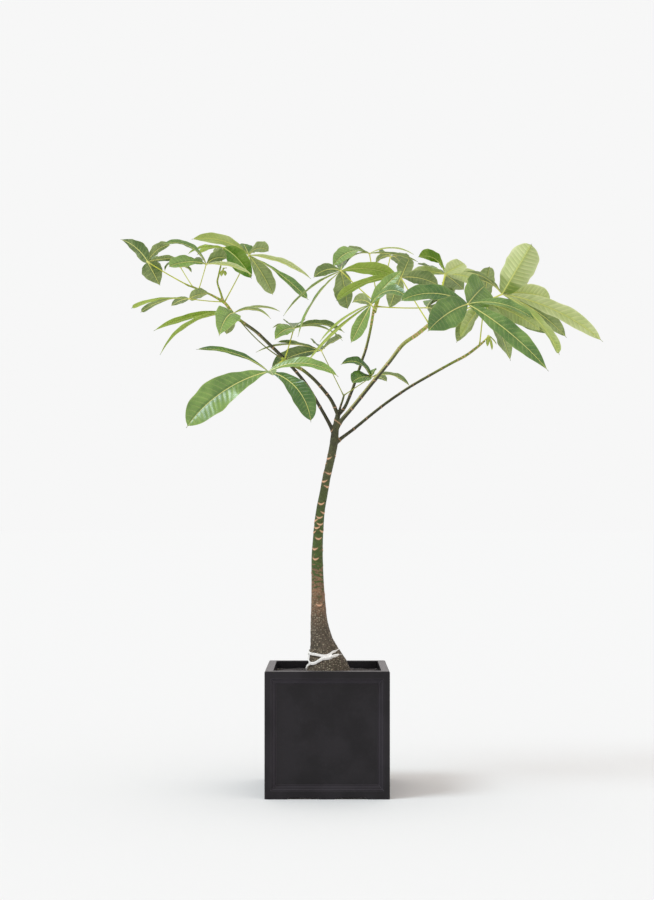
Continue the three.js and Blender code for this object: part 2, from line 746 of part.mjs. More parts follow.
// A leaflet: a thin arched blade with a shallow fold along its midrib and waved edges.
function leaflet(hub, shape, order) {
  const [across, down, deeper, width, arch, face, sweep = 0, twist = 0, base = 0, tip = 0] = shape;
  const start = seen(hub);
  const end = seen([across, down, hub[2] + deeper]);
  const chord = end.clone().sub(start);
  const along = chord.clone().normalize();
  const rise = UP.clone().addScaledVector(along, -UP.dot(along)).normalize();
  const side = new THREE.Vector3().crossVectors(along, rise);
  if (side.dot(TO_VIEWER) < 0) {
    side.negate();
  }
  const bend = rise.clone().multiplyScalar(arch / MIDRIB_REACH).addScaledVector(side, sweep / MIDRIB_REACH);
  const [first, second] = MIDRIB_GUIDES.map((share) => start.clone().addScaledVector(chord, share).add(bend));
  const midrib = new THREE.CubicBezierCurve3(start, first, second, end);

  const rings = [];
  for (let station = 0; station <= BLADE_SEGMENTS; station += 1) {
    const share = station / BLADE_SEGMENTS;
    const middle = midrib.getPoint(share);
    const forward = midrib.getTangent(share);
    const turn = THREE.MathUtils.degToRad(face + twist * share);
    const facing = rise.clone().multiplyScalar(Math.cos(turn)).addScaledVector(side, Math.sin(turn));
    const normal = facing.addScaledVector(forward, -facing.dot(forward)).normalize();
    const outward = new THREE.Vector3().crossVectors(normal, forward);
    const stalk = BLADE_STALK * (1 - STALK_TAPER * share);
    const half = share < 1 ? (widthShare(share, base, tip) * width) / 2 + stalk : 0;
    const wave = (edge) => {
      const phase = order * WAVE_STEP + edge * WAVE_EDGE + WAVE_START;
      const height = Math.sin(BLADE_WAVES * FULL_TURN * share + phase) * BLADE_WAVE * width;
      return half * BLADE_FOLD + height * Math.sin(Math.PI * share);
    };
    const rib = (BLADE_THICK / 2) * (1 + RIB_SWELL * (1 - share));
    const left = middle.clone().addScaledVector(outward, half).addScaledVector(normal, wave(1));
    const right = middle.clone().addScaledVector(outward, -half).addScaledVector(normal, wave(-1));
    rings.push([
      left.clone().addScaledVector(normal, BLADE_THICK / 2),
      middle.clone().addScaledVector(normal, BLADE_THICK / 2),
      right.clone().addScaledVector(normal, BLADE_THICK / 2),
      right.clone().addScaledVector(normal, -BLADE_THICK / 2),
      middle.clone().addScaledVector(normal, -rib),
      left.clone().addScaledVector(normal, -BLADE_THICK / 2),
    ]);
  }
  return skin(rings, { mirrored: (k) => k === 3 || k === 4 });
}

function petioleSolid(petiole, hub) {
  const start = seen(petiole);
  const end = seen(hub);
  const lift = new THREE.Vector3(0, 0, start.distanceTo(end) * PETIOLE_BOW);
  const middle = start.clone().lerp(end, 0.5).sub(lift);
  const line = new THREE.QuadraticBezierCurve3(start, middle, end);
  const radii = PETIOLE_SWELLS.map((swell) => swell * PETIOLE_RADIUS);
  const stations = PETIOLE_SHARES.map((share, i) => [line.getPoint(share), radii[i]]);
  return limb(stations, PETIOLE_SIDES);
}

function leafSolid({ hub, petiole, leaflets }, wood) {
  const middle = seen(hub);
  const heart = new THREE.IcosahedronGeometry(HUB_RADIUS, 0).translate(middle.x, middle.y, middle.z);
  const blades = leaflets.map((shape, order) => leaflet(hub, shape, order));
  return largest(joined([solidOf(heart), petioleSolid(petiole, hub), ...blades]).subtract(wood));
}

// ---- The plant in its planter ----
const planterPaint = new THREE.MeshStandardMaterial({ color: "#2f2d31", roughness: 0.72, metalness: 0 });
const soilEarth = new THREE.MeshStandardMaterial({ color: "#5b4f47", roughness: 0.95, metalness: 0 });
const bark = new THREE.MeshStandardMaterial({ color: "#6f6a4c", roughness: 0.85, metalness: 0 });
const cotton = new THREE.MeshStandardMaterial({ color: "#e9e6df", roughness: 0.8, metalness: 0 });
const leafGreen = { color: "#4f7d46", roughness: 0.45, metalness: 0 };
const youngGreen = { color: "#9db83f", roughness: 0.5, metalness: 0 };

const group = new THREE.Group();
const wood = woodSolid(0);
const woodWithGap = woodSolid(GAP);
group.add(meshOf("planter", planterSolid(), planterPaint));
group.add(meshOf("soil", soilSolid(woodWithGap), soilEarth));
group.add(meshOf("trunk", wood, bark));
group.add(meshOf("tie", tieSolid(woodWithGap), cotton));
for (const [name, leaf] of Object.entries(LEAVES)) {
  const look = name.startsWith("young") ? youngGreen : leafGreen;
  group.add(meshOf(`leaf_${name}`, leafSolid(leaf, woodWithGap), new THREE.MeshStandardMaterial(look)));
}

export default group;
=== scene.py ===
"""A potted money tree: planter, soil, trunk and branches, tie, palmate leaves, and a pale studio."""

import math
import random

import bmesh
import bpy
import numpy as np
from bpy.props import FloatProperty, FloatVectorProperty, IntProperty, PointerProperty
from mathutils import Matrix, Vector, kdtree


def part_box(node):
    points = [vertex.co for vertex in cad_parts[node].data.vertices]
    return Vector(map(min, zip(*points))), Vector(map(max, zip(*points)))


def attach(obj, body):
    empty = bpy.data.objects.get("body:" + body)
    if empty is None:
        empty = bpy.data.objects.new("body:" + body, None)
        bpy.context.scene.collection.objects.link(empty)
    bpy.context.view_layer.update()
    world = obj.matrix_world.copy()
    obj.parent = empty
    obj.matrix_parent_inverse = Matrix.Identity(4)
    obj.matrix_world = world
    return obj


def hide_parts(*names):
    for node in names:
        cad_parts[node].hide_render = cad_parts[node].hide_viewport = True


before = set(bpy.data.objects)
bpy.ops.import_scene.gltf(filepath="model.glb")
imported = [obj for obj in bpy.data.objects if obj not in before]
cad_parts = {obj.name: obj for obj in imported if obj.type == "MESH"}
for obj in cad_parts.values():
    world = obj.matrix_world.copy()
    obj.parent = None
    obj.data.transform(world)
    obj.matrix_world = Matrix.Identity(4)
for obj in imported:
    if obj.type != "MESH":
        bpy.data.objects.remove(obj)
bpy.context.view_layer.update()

bl_info = {
    "name": "Money Tree",
    "version": (1, 0, 0),
    "blender": (4, 5, 0),
    "location": "3D View > Sidebar > Money Tree",
    "description": "Builds a money tree in a square planter, leaf by leaf",
    "category": "Add Mesh",
}

MM = 0.001
FULL_TURN = 2 * math.pi
UP = np.array([0.0, 0.0, 1.0])
TO_VIEWER = np.array([0.0, -1.0, 0.0])

# The reference view: a level eye in front of the planter. Places on the plant are written as they
# look from there: pixels across and down a picture 654 wide and 900 high, and a depth in
# millimetres behind the planter's middle.
PICTURE_WIDTH = 654
PICTURE_HEIGHT = 900
EYE_DISTANCE = 3345.0
EYE_HEIGHT = 589.0
PIXELS_PER_SLOPE = 1494.0
MIDDLE_ACROSS = 327.2
HORIZON_DOWN = 525.4
SENSOR = 36.0
# How far the floor reaches each way, in metres, and where the main light points.
FLOOR_REACH = 150.0
KEY_AIM = Vector((0.66, 0.3, -0.95))

# How slowly a blade widens from its base and narrows to its tip, how much less slowly where it is full
# there, and the share of its length where only the narrow drip tip is left.
BLADE_BASE_POWER = 1.25
BLADE_TIP_POWER = 0.9
BLADE_FULLNESS = 0.65
DRIP_TIP = 0.035
# Half the width of a blade's narrow ends in millimetres, and the share by which it is less at the tip.
BLADE_STALK = 0.8
STALK_TAPER = 0.45
# The shares of a blade's length where its midrib's guide points stand, and the part of their height that
# the curve reaches.
MIDRIB_GUIDES = (0.3, 0.7)
MIDRIB_REACH = 0.75
# A blade's columns of points, as shares of the way from the midrib's side to the edge, and how far its rows
# run ahead at the edges half way up, as a share of its length.
BLADE_COLUMNS = (1, 0.84, 0.66, 0.46, 0.26, 0)
ROW_SWEEP = 0.085
# Lateral veins: their spacing in millimetres, the fewest and the most on a side, and the rows for each.
VEIN_SPACING = 8.5
FEWEST_VEINS = 4
MOST_VEINS = 18
ROWS_PER_VEIN = 4
# The veins right of the midrib stand this share of their spacing nearer the base than the left ones. Then
# the share by which the shade beside a vein stands nearer the base than the vein.
VEIN_SHIFT = 0.45
VEIN_SHADE_SHIFT = 0.17
# In radians: where the waves start, and how far on they are for the next leaflet, and on or back along a
# blade's two edges. Then how many scallops and how many ripples there are to a wave.
WAVE_START = 0.9
WAVE_STEP = 1.7
WAVE_EDGE = 0.8
SCALLOP_RATE = 1.7
RIPPLE_RATE = 2.7
# In millimetres: the most that half the midrib's width can be, how high a wide blade puckers between its
# veins, how deep the midrib lies in the upper side, and how far the lateral veins stand out underneath.
RIB_HALF_WIDTH = 1.7
PUCKER = 0.8
RIB_GROOVE = 0.25
VEIN_RISE = 0.16
# How far the middle guide point of most petioles hangs below the straight line, as a share of their reach.
PETIOLE_BOW = 0.03
# Shares of a petiole's length, and how thick it is there.
PETIOLE_SHARES = [0, 0.04, 0.1, 0.5, 0.92, 1]
PETIOLE_SWELLS = [1.65, 1.6, 1.15, 1, 1.05, 1.4]
PETIOLE_SIDES = 10
HUB_SIDES = 14

# Outer planter, from its part in model.glb.
PLANTER_HALF, _, PLANTER_TOP = (float(value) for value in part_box("planter")[1])
PLANTER_WALL = 18 * MM
# The share of a moulding step's width over which its rise slopes.
STEP_SLOPE = 0.75

# The angle by which the soil mound's cosine falls up to the wall.
MOUND_FALL = 1.4
# The clods are two waves: radians for each millimetre, the swing of the first and the start of the second.
CLOD_ACROSS = 0.11
CLOD_SWAY = 0.07
CLOD_SWING = 2
CLOD_ALONG = 0.13
CLOD_SLANT = 0.05
CLOD_START = 1
# The points along each side of the soil's top, and the height of its fine clods.
SOIL_POINTS = 110
FINE_CLOD = 0.55 * MM
# How far the crumbs stay from the planter's wall and from the middle of the trunk's foot.
CRUMB_FROM_WALL = 4 * MM
CRUMB_FROM_TRUNK = 54 * MM
# The size of the smallest crumbs, and how much larger the largest are.
CRUMB_LEAST = 1.0 * MM
CRUMB_MORE = 2.4 * MM

# The sides of the wood's tubes.
TRUNK_SIDES = 48
BRANCH_SIDES = 18
# The radii between which the trunk's flutes fade in, and the angle where they start.
FLUTE_FADE = (14 * MM, 40 * MM)
FLUTE_START = 0.6
# The shares by which the wood's points move in to the middle of their neighbours and out again.
RELAX_IN = 0.6
RELAX_OUT = -0.63

# The wood: across, down, depth, radius.
TRUNK = [
    (330.5, 705, 0, 20), (329.5, 694, 0, 36), (328.5, 683, 0, 47), (328, 674, 0, 50),
    (326.6, 664.5, 0, 44), (324.8, 656, 0, 36.5), (323, 648, 0, 30.5), (321, 637, 0, 24),
    (319.1, 621, 0, 19), (318.4, 605, 0, 16.2), (317.6, 581, 0, 13.8), (317.2, 557.6, 0, 12.7),
    (317.8, 541.6, 0, 11.5), (318.9, 525.7, 0, 10.7), (320.6, 509.7, 0, 9.8), (323.6, 493.8, 0, 9.3),
    (326.5, 477.8, 0, 9), (330.2, 461.9, 0, 8.9), (333.4, 446, 0, 9.1), (334.6, 436, 0, 8.8),
    (335.6, 428, 0, 7.6), (337, 420, 0, 6.2), (338.4, 412, 0, 5.2),
]
BRANCHES = {
    "left_long": [
        (334, 436, 0, 5.4), (331, 427, 3, 4.4), (320.2, 407.3, 12, 3.8), (306.1, 384.2, 26, 3.7),
        (292, 367, 38, 3.7), (283, 357.5, 44, 4.1), (269.1, 344, 50, 3.8), (256.5, 332.1, 56, 3.8),
        (243.9, 323, 60, 3.7), (235, 316, 60, 3.7), (227, 305.4, 58, 3.5), (222.3, 301.2, 56, 3.4),
        (210.3, 294.5, 50, 2.4), (195.7, 288.1, 44, 2.2), (188.4, 285.6, 40, 2),
    ],
    "left_short": [
        (338.4, 416, 0, 4.6), (332.1, 401.7, -8, 4), (325.1, 391.9, -14, 3.9), (314.6, 380, -18, 3.8),
        (304, 370.9, -20, 3.8), (297, 367, -20, 3.7), (289, 363, -17, 3.6), (281.5, 358, -12, 3.3),
    ],
    "middle": [
        (338.2, 415, 0, 4.6), (344.7, 407.3, 6, 3.8), (350.3, 394.7, 14, 3.5), (353.8, 385.6, 18, 3.4),
        (362.3, 359.6, 22, 3.3), (365.8, 349.1, 20, 3.2), (370.2, 330.7, 12, 3.1), (374.1, 309, 2, 3.2),
        (377.9, 300.8, -2, 3),
    ],
    "right_upper": [
        (336.4, 429, 0, 5.6), (341, 421, -6, 4.9), (353.1, 406.6, -28, 4.6), (379.1, 374.4, -62, 4.4),
        (390, 361, -74, 4.3), (402.8, 344.6, -88, 4.3), (416.6, 334.7, -100, 4.2),
        (426.5, 326.8, -106, 4.1), (437, 318.5, -110, 3.6),
    ],
    "right_lower": [
        (334.4, 444.5, 0, 5.4), (341, 438.5, 4, 4.2), (354.5, 428.4, 10, 3.6), (374.2, 412.3, 18, 3.4),
        (390, 400.3, 24, 3.3), (409.7, 387, 30, 3.2), (426.5, 377.2, 34, 3.2), (450, 364, 36, 3.1),
        (466, 355.4, 38, 3.2), (478, 346.5, 38, 2.9), (484.9, 340.6, 36, 2.2),
    ],
    "shoot": [
        (338.6, 414, 0, 3.6), (340.5, 406.6, -14, 2.6), (342.6, 400.3, -20, 2.4), (344.2, 394.5, -24, 2.2),
    ],
    "left_top": [
        (223.6, 302.4, 57, 3), (220.2, 291.6, 57, 2.4), (217.4, 282.5, 59, 2.2), (218.4, 276.3, 60, 2.1),
        (220.5, 267, 62, 2),
    ],
}

# Where a branch's age isn't even from 0.6 at its start to 1 at its end: shares of its length, and ages.
BRANCH_AGES = {"left_long": ([0, 0.66, 0.76, 1], [0.6, 0.8, 0.97, 1]), "left_top": ([0, 1], [0.96, 1])}
# How much painted shade lies on a branch's bark at its start and at its end, where it isn't 0 all along.
# Below 0 it is painted light.
BRANCH_PAINTED_SHADES = {
    "left_long": (1.3, 0.0), "right_lower": (0.6, 0.3), "right_upper": (0.2, -0.2), "middle": (0.6, 0.1),
    "left_short": (0.3, 0.1), "shoot": (0.9, 0.9),
}
# The trunk's heights in millimetres, and the bark's age there. Then the same for how much painted shade lies
# on it.
TRUNK_AGES = ([280, 411, 516, 747, 800], [0, 0.2, 0.35, 0.5, 0.6])
TRUNK_PAINTED_SHADES = ([740, 790], [0, 0.45])

# How a leaflet looks, by letter: its tone from 0, deep, to 1, light, and the materials, from 0 to 4, of its
# upper side and its underside; 3 and 4 are the lit copies with painted backlight. Then, where it has them,
# how much painted shadow of other leaves, in vivid green, lies over its left half and over its base.
LOOKS = {
    "d": (0.05, 0, 1), "k": (0.22, 0, 1), "m": (0.4, 0, 1), "n": (0.62, 0, 1), "l": (0.9, 0, 1),
    "q": (0.25, 3, 3), "p": (0.8, 3, 3), "w": (1.0, 3, 3), "v": (0.05, 4, 4), "x": (0.4, 4, 4),
    "b": (1.0, 4, 4), "f": (0.9, 3, 3, 0.3, 0.65),
}
# The leaves: the hub's place; the petiole's start and radius, and, where it has them, how much painted shade
# lies on it and how it bows; and a look's letter for each leaflet. Each leaflet has the tip's across and
# down, how much deeper the tip lies than the hub, the blade's width, how high its midrib arches, and its
# face: the degrees that its upper side turns from the sky to the viewer. Then, where it has them, its sweep
# to the viewer's side, its twist up to the tip in degrees, and how full it is at its base and at its tip.
LEAVES = {
    "left_outer": ((147.6, 261.8, 25), (188.9, 285.8, 40.3, 1.3), "klnmm", [
        (120.5, 239.4, 30, 36, 8, -70, 0, 0, 1, -0.5), (170.5, 245, 50, 28, 9, -60, 0, 0, 0.6, 0.2),
        (176, 259, 30, 17, 3, -40, 0, 0, 0, 0.3), (160.2, 285.8, 25, 46, 0, -62, 0, 20, 0.8, -0.5),
        (152, 257.5, 120, 34, 6, -10),
    ]),
    "left_rear": ((180.4, 267, 70), (193, 287.2, 43, 1.0), "mdmmm", [
        (164.7, 271, -20, 18, 14, 0), (191.5, 272.5, 10, 12, 6, -10), (172, 262, 95, 34, 8, -10),
        (203, 263, 80, 32, 8, -10), (188, 268, 120, 34, 6, -10),
    ]),
    "left_front": ((206.2, 264.3, -10), (198.8, 289.5, 45.5, 1.0), "nmmw", [
        (168.7, 267.1, -55, 37, 8, 45, 0, 0, 0.1, 0.5), (161.5, 244.8, -20, 25, 22, 35),
        (227.5, 258.7, 30, 42, 8, -35), (252.4, 275.6, -30, 18, 10, -25),
    ]),
    "left_high": ((223.7, 247.8, 60), (220.5, 267.4, 62, 1.2), "bvbl", [
        (188, 254, -10, 26, 9, 15), (251.7, 279, -60, 44, 8, 70, 0, 0, 0.5, 0.1), (197, 255, -50, 22, 6, 15),
        (219, 262, 115, 36, 4, -10),
    ]),
    "left_top_pale": ((248.9, 255.2, 90), (224.5, 302, 57, 1.2), "qlmplm", [
        (191.4, 239.4, -20, 28, 16, -45), (268.8, 251.5, 50, 34, 12, -40, 0, 0, 0.6, 0.4),
        (243.5, 243.5, 25, 32, 0, 0, 0, 0, 0.5, 0.4), (311, 279, -20, 24, 12, -22),
        (273, 295.2, 10, 39, 4, -62, 0, 0, 0.2, 0.3), (308.5, 300, -50, 24, 8, 0, 0, 60, -1, 0.4),
    ]),
    "left_mid": ((233.9, 313.1, -25), (281.5, 358, -12, 1.2, 1, 0.14), "bbllll", [
        (153.5, 331, -20, 20, 12, -32), (160, 355, -50, 22, 27, -22),
        (219, 336.5, -95, 54, 13, 30, 0, 0, 0.8, -0.3), (226.5, 334.5, 15, 28, 2, -30),
        (280, 311.5, 30, 9, 12, -20), (271, 319, -35, 14, 15, -25),
    ]),
    "left_low_small": ((189.4, 298.7, 0), (223, 301.8, 56, 1.1), "bnml", [
        (131, 308.5, -20, 12, 10, 5, 0, 55, -0.5, 0.9), (140.5, 312.6, 20, 13, 12, 0, 0, -55, -0.5, 0.9),
        (171, 306, 65, 17, 4, -40, 0, 0, 0.3), (209.5, 293.8, 30, 30, 4, -50, 0, 0, 0.8, -0.3),
    ]),
    "left_large": ((268.5, 371.8, -100), (283.5, 359.6, -13, 1.5), "nkdll", [
        (186, 428.3, -45, 70, 20, 58, 0, 15, 0.1, 0.3), (196, 349.5, 10, 21, 16, 35, 0, 0, 0, 0.3),
        (311, 422.8, -45, 45, 25, 62, 0, 0, -0.3, 0.3), (338.6, 377, -30, 30, 24, 46, 0, 0, 0.4),
        (273, 375.5, -90, 24, 4, 10),
    ]),
    "mid_rear": ((321.2, 350.5, 45), (343.8, 396, -23, 1.0, 0.6, 0), "dkmmm", [
        (271, 368, 40, 38, 10, -40, 0, 0, 0.3, 0.2), (277.5, 342, 10, 20, 4, -15, 0, 0, 0, 0.6),
        (342.5, 337.6, 70, 34, 4, -40, 0, 0, 0.5), (313.5, 343, 90, 36, 4, -30),
        (255.8, 352.4, 20, 12, 16, -10),
    ]),
    "mid_upper": ((293.7, 328.8, 50), (284.5, 360, -13, 1.3), "lmmmmm", [
        (274.7, 339.8, -60, 34, 8, 35, 0, 0, 0.5, -0.3), (272.6, 327.9, 20, 14, 8, 0),
        (344.5, 332.7, -10, 28, 16, -20), (342.5, 340.6, -50, 16, 18, -5), (287, 323, 100, 34, 4, -20),
        (302.5, 322.5, 105, 34, 4, -20),
    ]),
    "mid_small": ((371, 377.3, -22), (344.3, 395, -24, 1.0, 0.5, 0), "dkmmm", [
        (340.5, 364.7, -45, 30, 20, 45, 0, 0, 0.8, -0.2), (351.8, 383, -70, 38, 6, 35, 0, 0, 0.4, 0.2),
        (410, 386.5, 30, 22, 16, -10), (387, 381.6, 60, 20, 6, -20),
        (374.5, 368.8, 15, 22, 0, -20, 0, 0, 0.3, 0.6),
    ]),
    "top_mid": ((369.5, 253.5, 110), (377.9, 300.9, -2, 1.2), "lmpmm", [
        (332.4, 267.4, -80, 39, 19, 5, 0, 50), (345, 265.7, -40, 10, 12, 0), (413.7, 254.6, 10, 7, 14, -10),
        (418, 262, -10, 12, 8, -20), (346, 249.5, 60, 22, 4, -25),
    ]),
    "top_rear": ((390.5, 256.5, 150), (375.4, 312.5, 3, 1.2), "lmmm", [
        (375.6, 263.8, -20, 20, 8, -45), (402, 266, 60, 26, 8, -20), (410, 262, 80, 26, 6, -20),
        (380, 254, 85, 26, 6, -20),
    ]),
    "upper_left": ((341, 271, 10), (377.1, 304, -1, 1.3), "nmbnll", [
        (313.4, 277.8, 45, 29, 11, -45), (343.5, 257.5, 100, 26, 2, -20),
        (398.5, 277.8, 25, 33, 12, -50, 0, 0, 0.1, 0.2), (347.8, 309.4, 60, 50, 4, -50, 0, 0, 0.8, 0.4),
        (283.2, 316.2, -30, 18, 12, -10), (297.9, 337, -45, 22, 15, -10),
    ]),
    "upper_mid": ((401, 277.6, -50), (429.5, 324.4, -107.2, 1.3), "bnml", [
        (336, 300.8, -25, 25, 16, -38, 0, 0, 0, 0.8), (409.5, 258, -20, 36, 0, -25, 0, 0, 0.9, 0.7),
        (439, 286, 45, 38, 8, -45), (389.5, 308.4, 40, 36, 2, -45, 0, 0, 0.3),
    ]),
    "middle_front": ((371, 304.3, -100), (375.8, 310, 1.5, 1.4), "llmbbl", [
        (352, 302.8, 30, 30, 8, -45, 0, 0, 0.4, -0.5), (402.5, 270.5, 20, 29, 4, 60, 0, 0, 0.5),
        (407, 297.5, -65, 27, 22, 50), (319.8, 342, -40, 7, 10, 30), (306.9, 362.8, -60, 8, 9, 35),
        (350.8, 343, -60, 28, 0, 50, 0, 0, -0.2, 0.1),
    ]),
    "rear_right": ((427, 307.7, 60), (376.5, 306.4, 0, 1.3), "mmmm", [
        (455, 297, 90, 40, 8, -20), (463, 310, 100, 42, 8, -20), (450, 322, 80, 40, 8, -30),
        (437, 300, 120, 38, 8, -20),
    ]),
    "upper_right": ((445.2, 274.4, 0), (432.8, 321.8, -108.4, 1.9), "xwqpnnm", [
        (417.5, 257.3, 50, 38, 18, -42), (464.5, 263.5, -60, 37, 2, -32, 0, 0, 0.75, 0.6),
        (406.8, 277.5, 30, 28, 9, -42), (484.2, 284.7, 60, 35, 8, -45), (455, 292, 130, 36, 0, -40),
        (464, 290, 90, 36, 2, -40), (417.5, 264, 110, 30, 3, -10),
    ]),
    "right_rear": ((484, 303, 60), (479.5, 345.4, 38, 1.3), "llqnqm", [
        (489.5, 266.3, -30, 46, 2, 10, 0, 0, 1, 0.7), (456.3, 342.8, 5, 42, 4, -50),
        (460.1, 338, -30, 48, 4, -55), (510.5, 361, -30, 57, 6, -60, 0, 0, 0.1, -0.3),
        (541, 331.5, 15, 44, 10, -52), (547.6, 334.5, 60, 40, 8, -50),
    ]),
    "right_far": ((502.1, 294.2, -30), (437.3, 318.3, -110.1, 1.6), "fppnqmm", [
        (532, 243.6, -40, 71, 0, -80, 0, 0, 0.9, 0.7), (551, 300, 40, 42, 9, -50, 0, 0, 0.3, 0.4),
        (603, 342, -20, 39, 18, -52, 0, 0, 0.2, 0.2), (566.8, 338, 60, 42, 12, -45),
        (559.5, 355.3, -60, 31, 18, -45, 0, 0, -0.3, 0.9), (464.3, 271.5, 20, 22, 12, -10),
        (470, 278.5, 40, 28, 10, -20),
    ]),
    "front_large": ((467.7, 304.2, -190), (435.3, 319.8, -109.4, 1.6), "nkmmm", [
        (484.5, 286, 45, 76, 2, 70, 0, 0, 0.9, 0.8), (399.4, 301.6, -20, 44, 20, 55, 0, 0, 0, 0.2),
        (427.6, 331.8, -50, 65, 8, 75, 0, 0, 0.4, -0.1), (536, 321.4, -20, 32, 18, 40),
        (548.8, 371.6, -50, 42, 10, 68, 0, 0, 0.1, -0.3),
    ]),
}
YOUNG_LEAVES = {
    "young_left": ((222.8, 270.6, 56), (219.2, 272.5, 61.2, 1.2), "mmm", [
        (226.5, 268.4, -8, 7, 3, 10), (225, 276, -6, 8, 3, 10), (221.5, 276.5, -8, 7, 2, 0),
    ]),
    "young_right": ((488.5, 336, 35), (483.5, 341.6, 36, 1.4), "mmm", [
        (491.9, 350.3, -8, 7, 2, 0), (496.5, 344.5, 10, 12, 2, 30), (487.5, 346.5, 14, 7, 2, 0),
    ]),
}

# The tie's turns round the trunk: how far out each lies, and its height at eight places from the left
# over the front, the right and the back.
TIE_TURNS = [
    (0, [308, 303, 300, 308, 311, 308, 306, 307]),
    (0, [268, 283, 296.5, 300, 301, 298, 288, 275]),
    (0.6, [304, 282, 294, 299, 299, 296, 292, 300]),
]
# The sections of the cord in one turn.
TIE_STEPS = 144
# In millimetres: the cord's gap to the bark, how far the knot's middle stands out of it, and half the
# thickness of the knot's wraps.
TIE_GAP = 0.35
KNOT_OUT = 1.2
WRAP_RADIUS = 1.7
# The flat cord's section, as shares of half its thickness and half its width.
TIE_SECTION = [
    (1, 0.62), (0.75, 0.95), (0, 1), (-0.75, 0.95), (-1, 0.62), (-1, -0.62), (-0.75, -0.95), (0, -1),
    (0.75, -0.95), (1, -0.62),
]
# The weave: radians for each step along the cord, and over half its width.
WEAVE_ALONG = 1.1
WEAVE_ACROSS = 9
TIE_KNOT = (331.5, 655)
TIE_KNOT_SIZE = (7, 4.2, 5.6)
# The knot's three wraps: start, top and end of each, as shares of its size.
TIE_WRAPS = [
    [(-0.75, 0, -0.35), (0, -1, 0.1), (0.75, 0, 0.45)],
    [(-0.8, 0, 0.3), (-0.05, -1.1, 0), (0.85, 0, -0.25)],
    [(-0.2, 0, 0.85), (0.05, -1.35, 0.05), (0.1, 0, -0.9)],
]

# Crescent scars on the trunk where old leaves stood: across, down.
TRUNK_SCARS = [
    (328.1, 458.4), (329.2, 473.4), (323.7, 481.3), (327.6, 486.6), (321, 503.7), (323.8, 512.6),
    (319.4, 517.4), (315.4, 520.1), (320.2, 524.1), (316.6, 527.6), (322.5, 531.2), (313.8, 532),
    (318.6, 538.4), (314.6, 548.8), (315.4, 558.8), (319.4, 604.6),
]
# The trunk's other scars: half turns from the right over the back, how many stand about each, and the
# least and most down.
HIDDEN_SCAR_TURNS = (0.1, 0.33, 0.6, 0.85)
HIDDEN_SCARS_EACH = 5
HIDDEN_SCARS_DOWN = (452, 600)
# The share of a branch's length past which its scars are strong and close, and how strong they are before.
YOUNG_WOOD = 0.72
OLD_SCAR = 0.6


def hue(code):
    """The scene-linear colour of a hex code."""
    parts = [int(code[i : i + 2], 16) / 255 for i in (1, 3, 5)]
    return [c / 12.92 if c <= 0.04045 else ((c + 0.055) / 1.055) ** 2.4 for c in parts]


# Colours that aren't settings: a leaf's spots, a petiole's foot, its painted shade and its patches, the pale
# grains in the soil, and the darker patches in the cotton.
LEAF_SPOT = hue("#7a5a34")
STALK_FOOT = hue("#5f6a2c")
STALK_PAINTED_SHADE = hue("#4d5424")
STALK_PATCH = hue("#7c8f3a")
SOIL_GRAIN = hue("#b9ab9c")
COTTON_SHADE = hue("#ddd8cd")


def colour_setting(name, description, code):
    """A colour that a user can change."""
    return FloatVectorProperty(
        name=name, description=description, subtype="COLOR", size=3, min=0, max=1, default=hue(code)
    )


def length_setting(name, description, millimetres):
    """A size that a user can change."""
    return FloatProperty(
        name=name, description=description, unit="LENGTH", min=0, precision=4, default=millimetres * MM
    )


def share_setting(name, description, default, low=0):
    """A share that a user can change."""
    return FloatProperty(
        name=name, description=description, subtype="FACTOR", min=low, max=1, default=default
    )


def number_setting(name, description, default):
    """A number that a user can change."""
    return FloatProperty(name=name, description=description, min=0, default=default)


# ---- Settings ----


class PlanterSettings(bpy.types.PropertyGroup):
    """Sizes and colours of the planter."""

    floor_top: length_setting("Floor", "Height of the inside floor", 14)
    side_border: length_setting("Side border", "Flat border beside each panel", 13.5)
    top_border: length_setting("Top border", "Flat border above each panel", 16)
    bottom_border: length_setting("Bottom border", "Flat border below each panel", 18.5)
    steps: IntProperty(name="Steps", description="Steps down into each panel", default=4, min=1, max=8)
    step_width: length_setting("Step width", "Width of one step of the moulding", 3)
    step_depth: length_setting("Step depth", "Depth of one step of the moulding", 2.8)
    corner_foot: length_setting("Corner foot", "Width of the feet at the corners", 48)
    middle_foot: length_setting("Middle foot", "Width of the feet between them", 32)
    foot_height: length_setting("Foot height", "Height of the gaps between the feet", 4)
    drain_radius: length_setting("Drain radius", "Radius of the drain holes", 7)
    edge_round: length_setting("Edge rounding", "Rounding along every sharp edge", 0.8)
    corner_round: length_setting("Corner rounding", "Rounding of the upright corners", 3)
    charcoal: colour_setting("Charcoal", "Colour of the planter's faces", "#181619")
    # The dust colour is real dust and wear, and on the rim and the rounded edges also a painted sheen where
    # they catch the light.
    dust_and_sheen: colour_setting("Dust", "Colour of the worn edges and the speckle", "#57525a")


class SoilSettings(bpy.types.PropertyGroup):
    """Sizes and colours of the soil."""

    below_rim: length_setting("Below the rim", "How far the soil lies below the rim", 19)
    mound: length_setting("Mound", "Height of the mound in the middle", 6)
    clod: length_setting("Clods", "Height of the clods", 1.3)
    crumbs: IntProperty(name="Crumbs", description="Loose crumbs on the soil", default=750, min=0)
    earth: colour_setting("Earth", "Colour of the damp mix", "#332f31")
    dry: colour_setting("Dry", "Colour of the dry grains", "#645d5d")


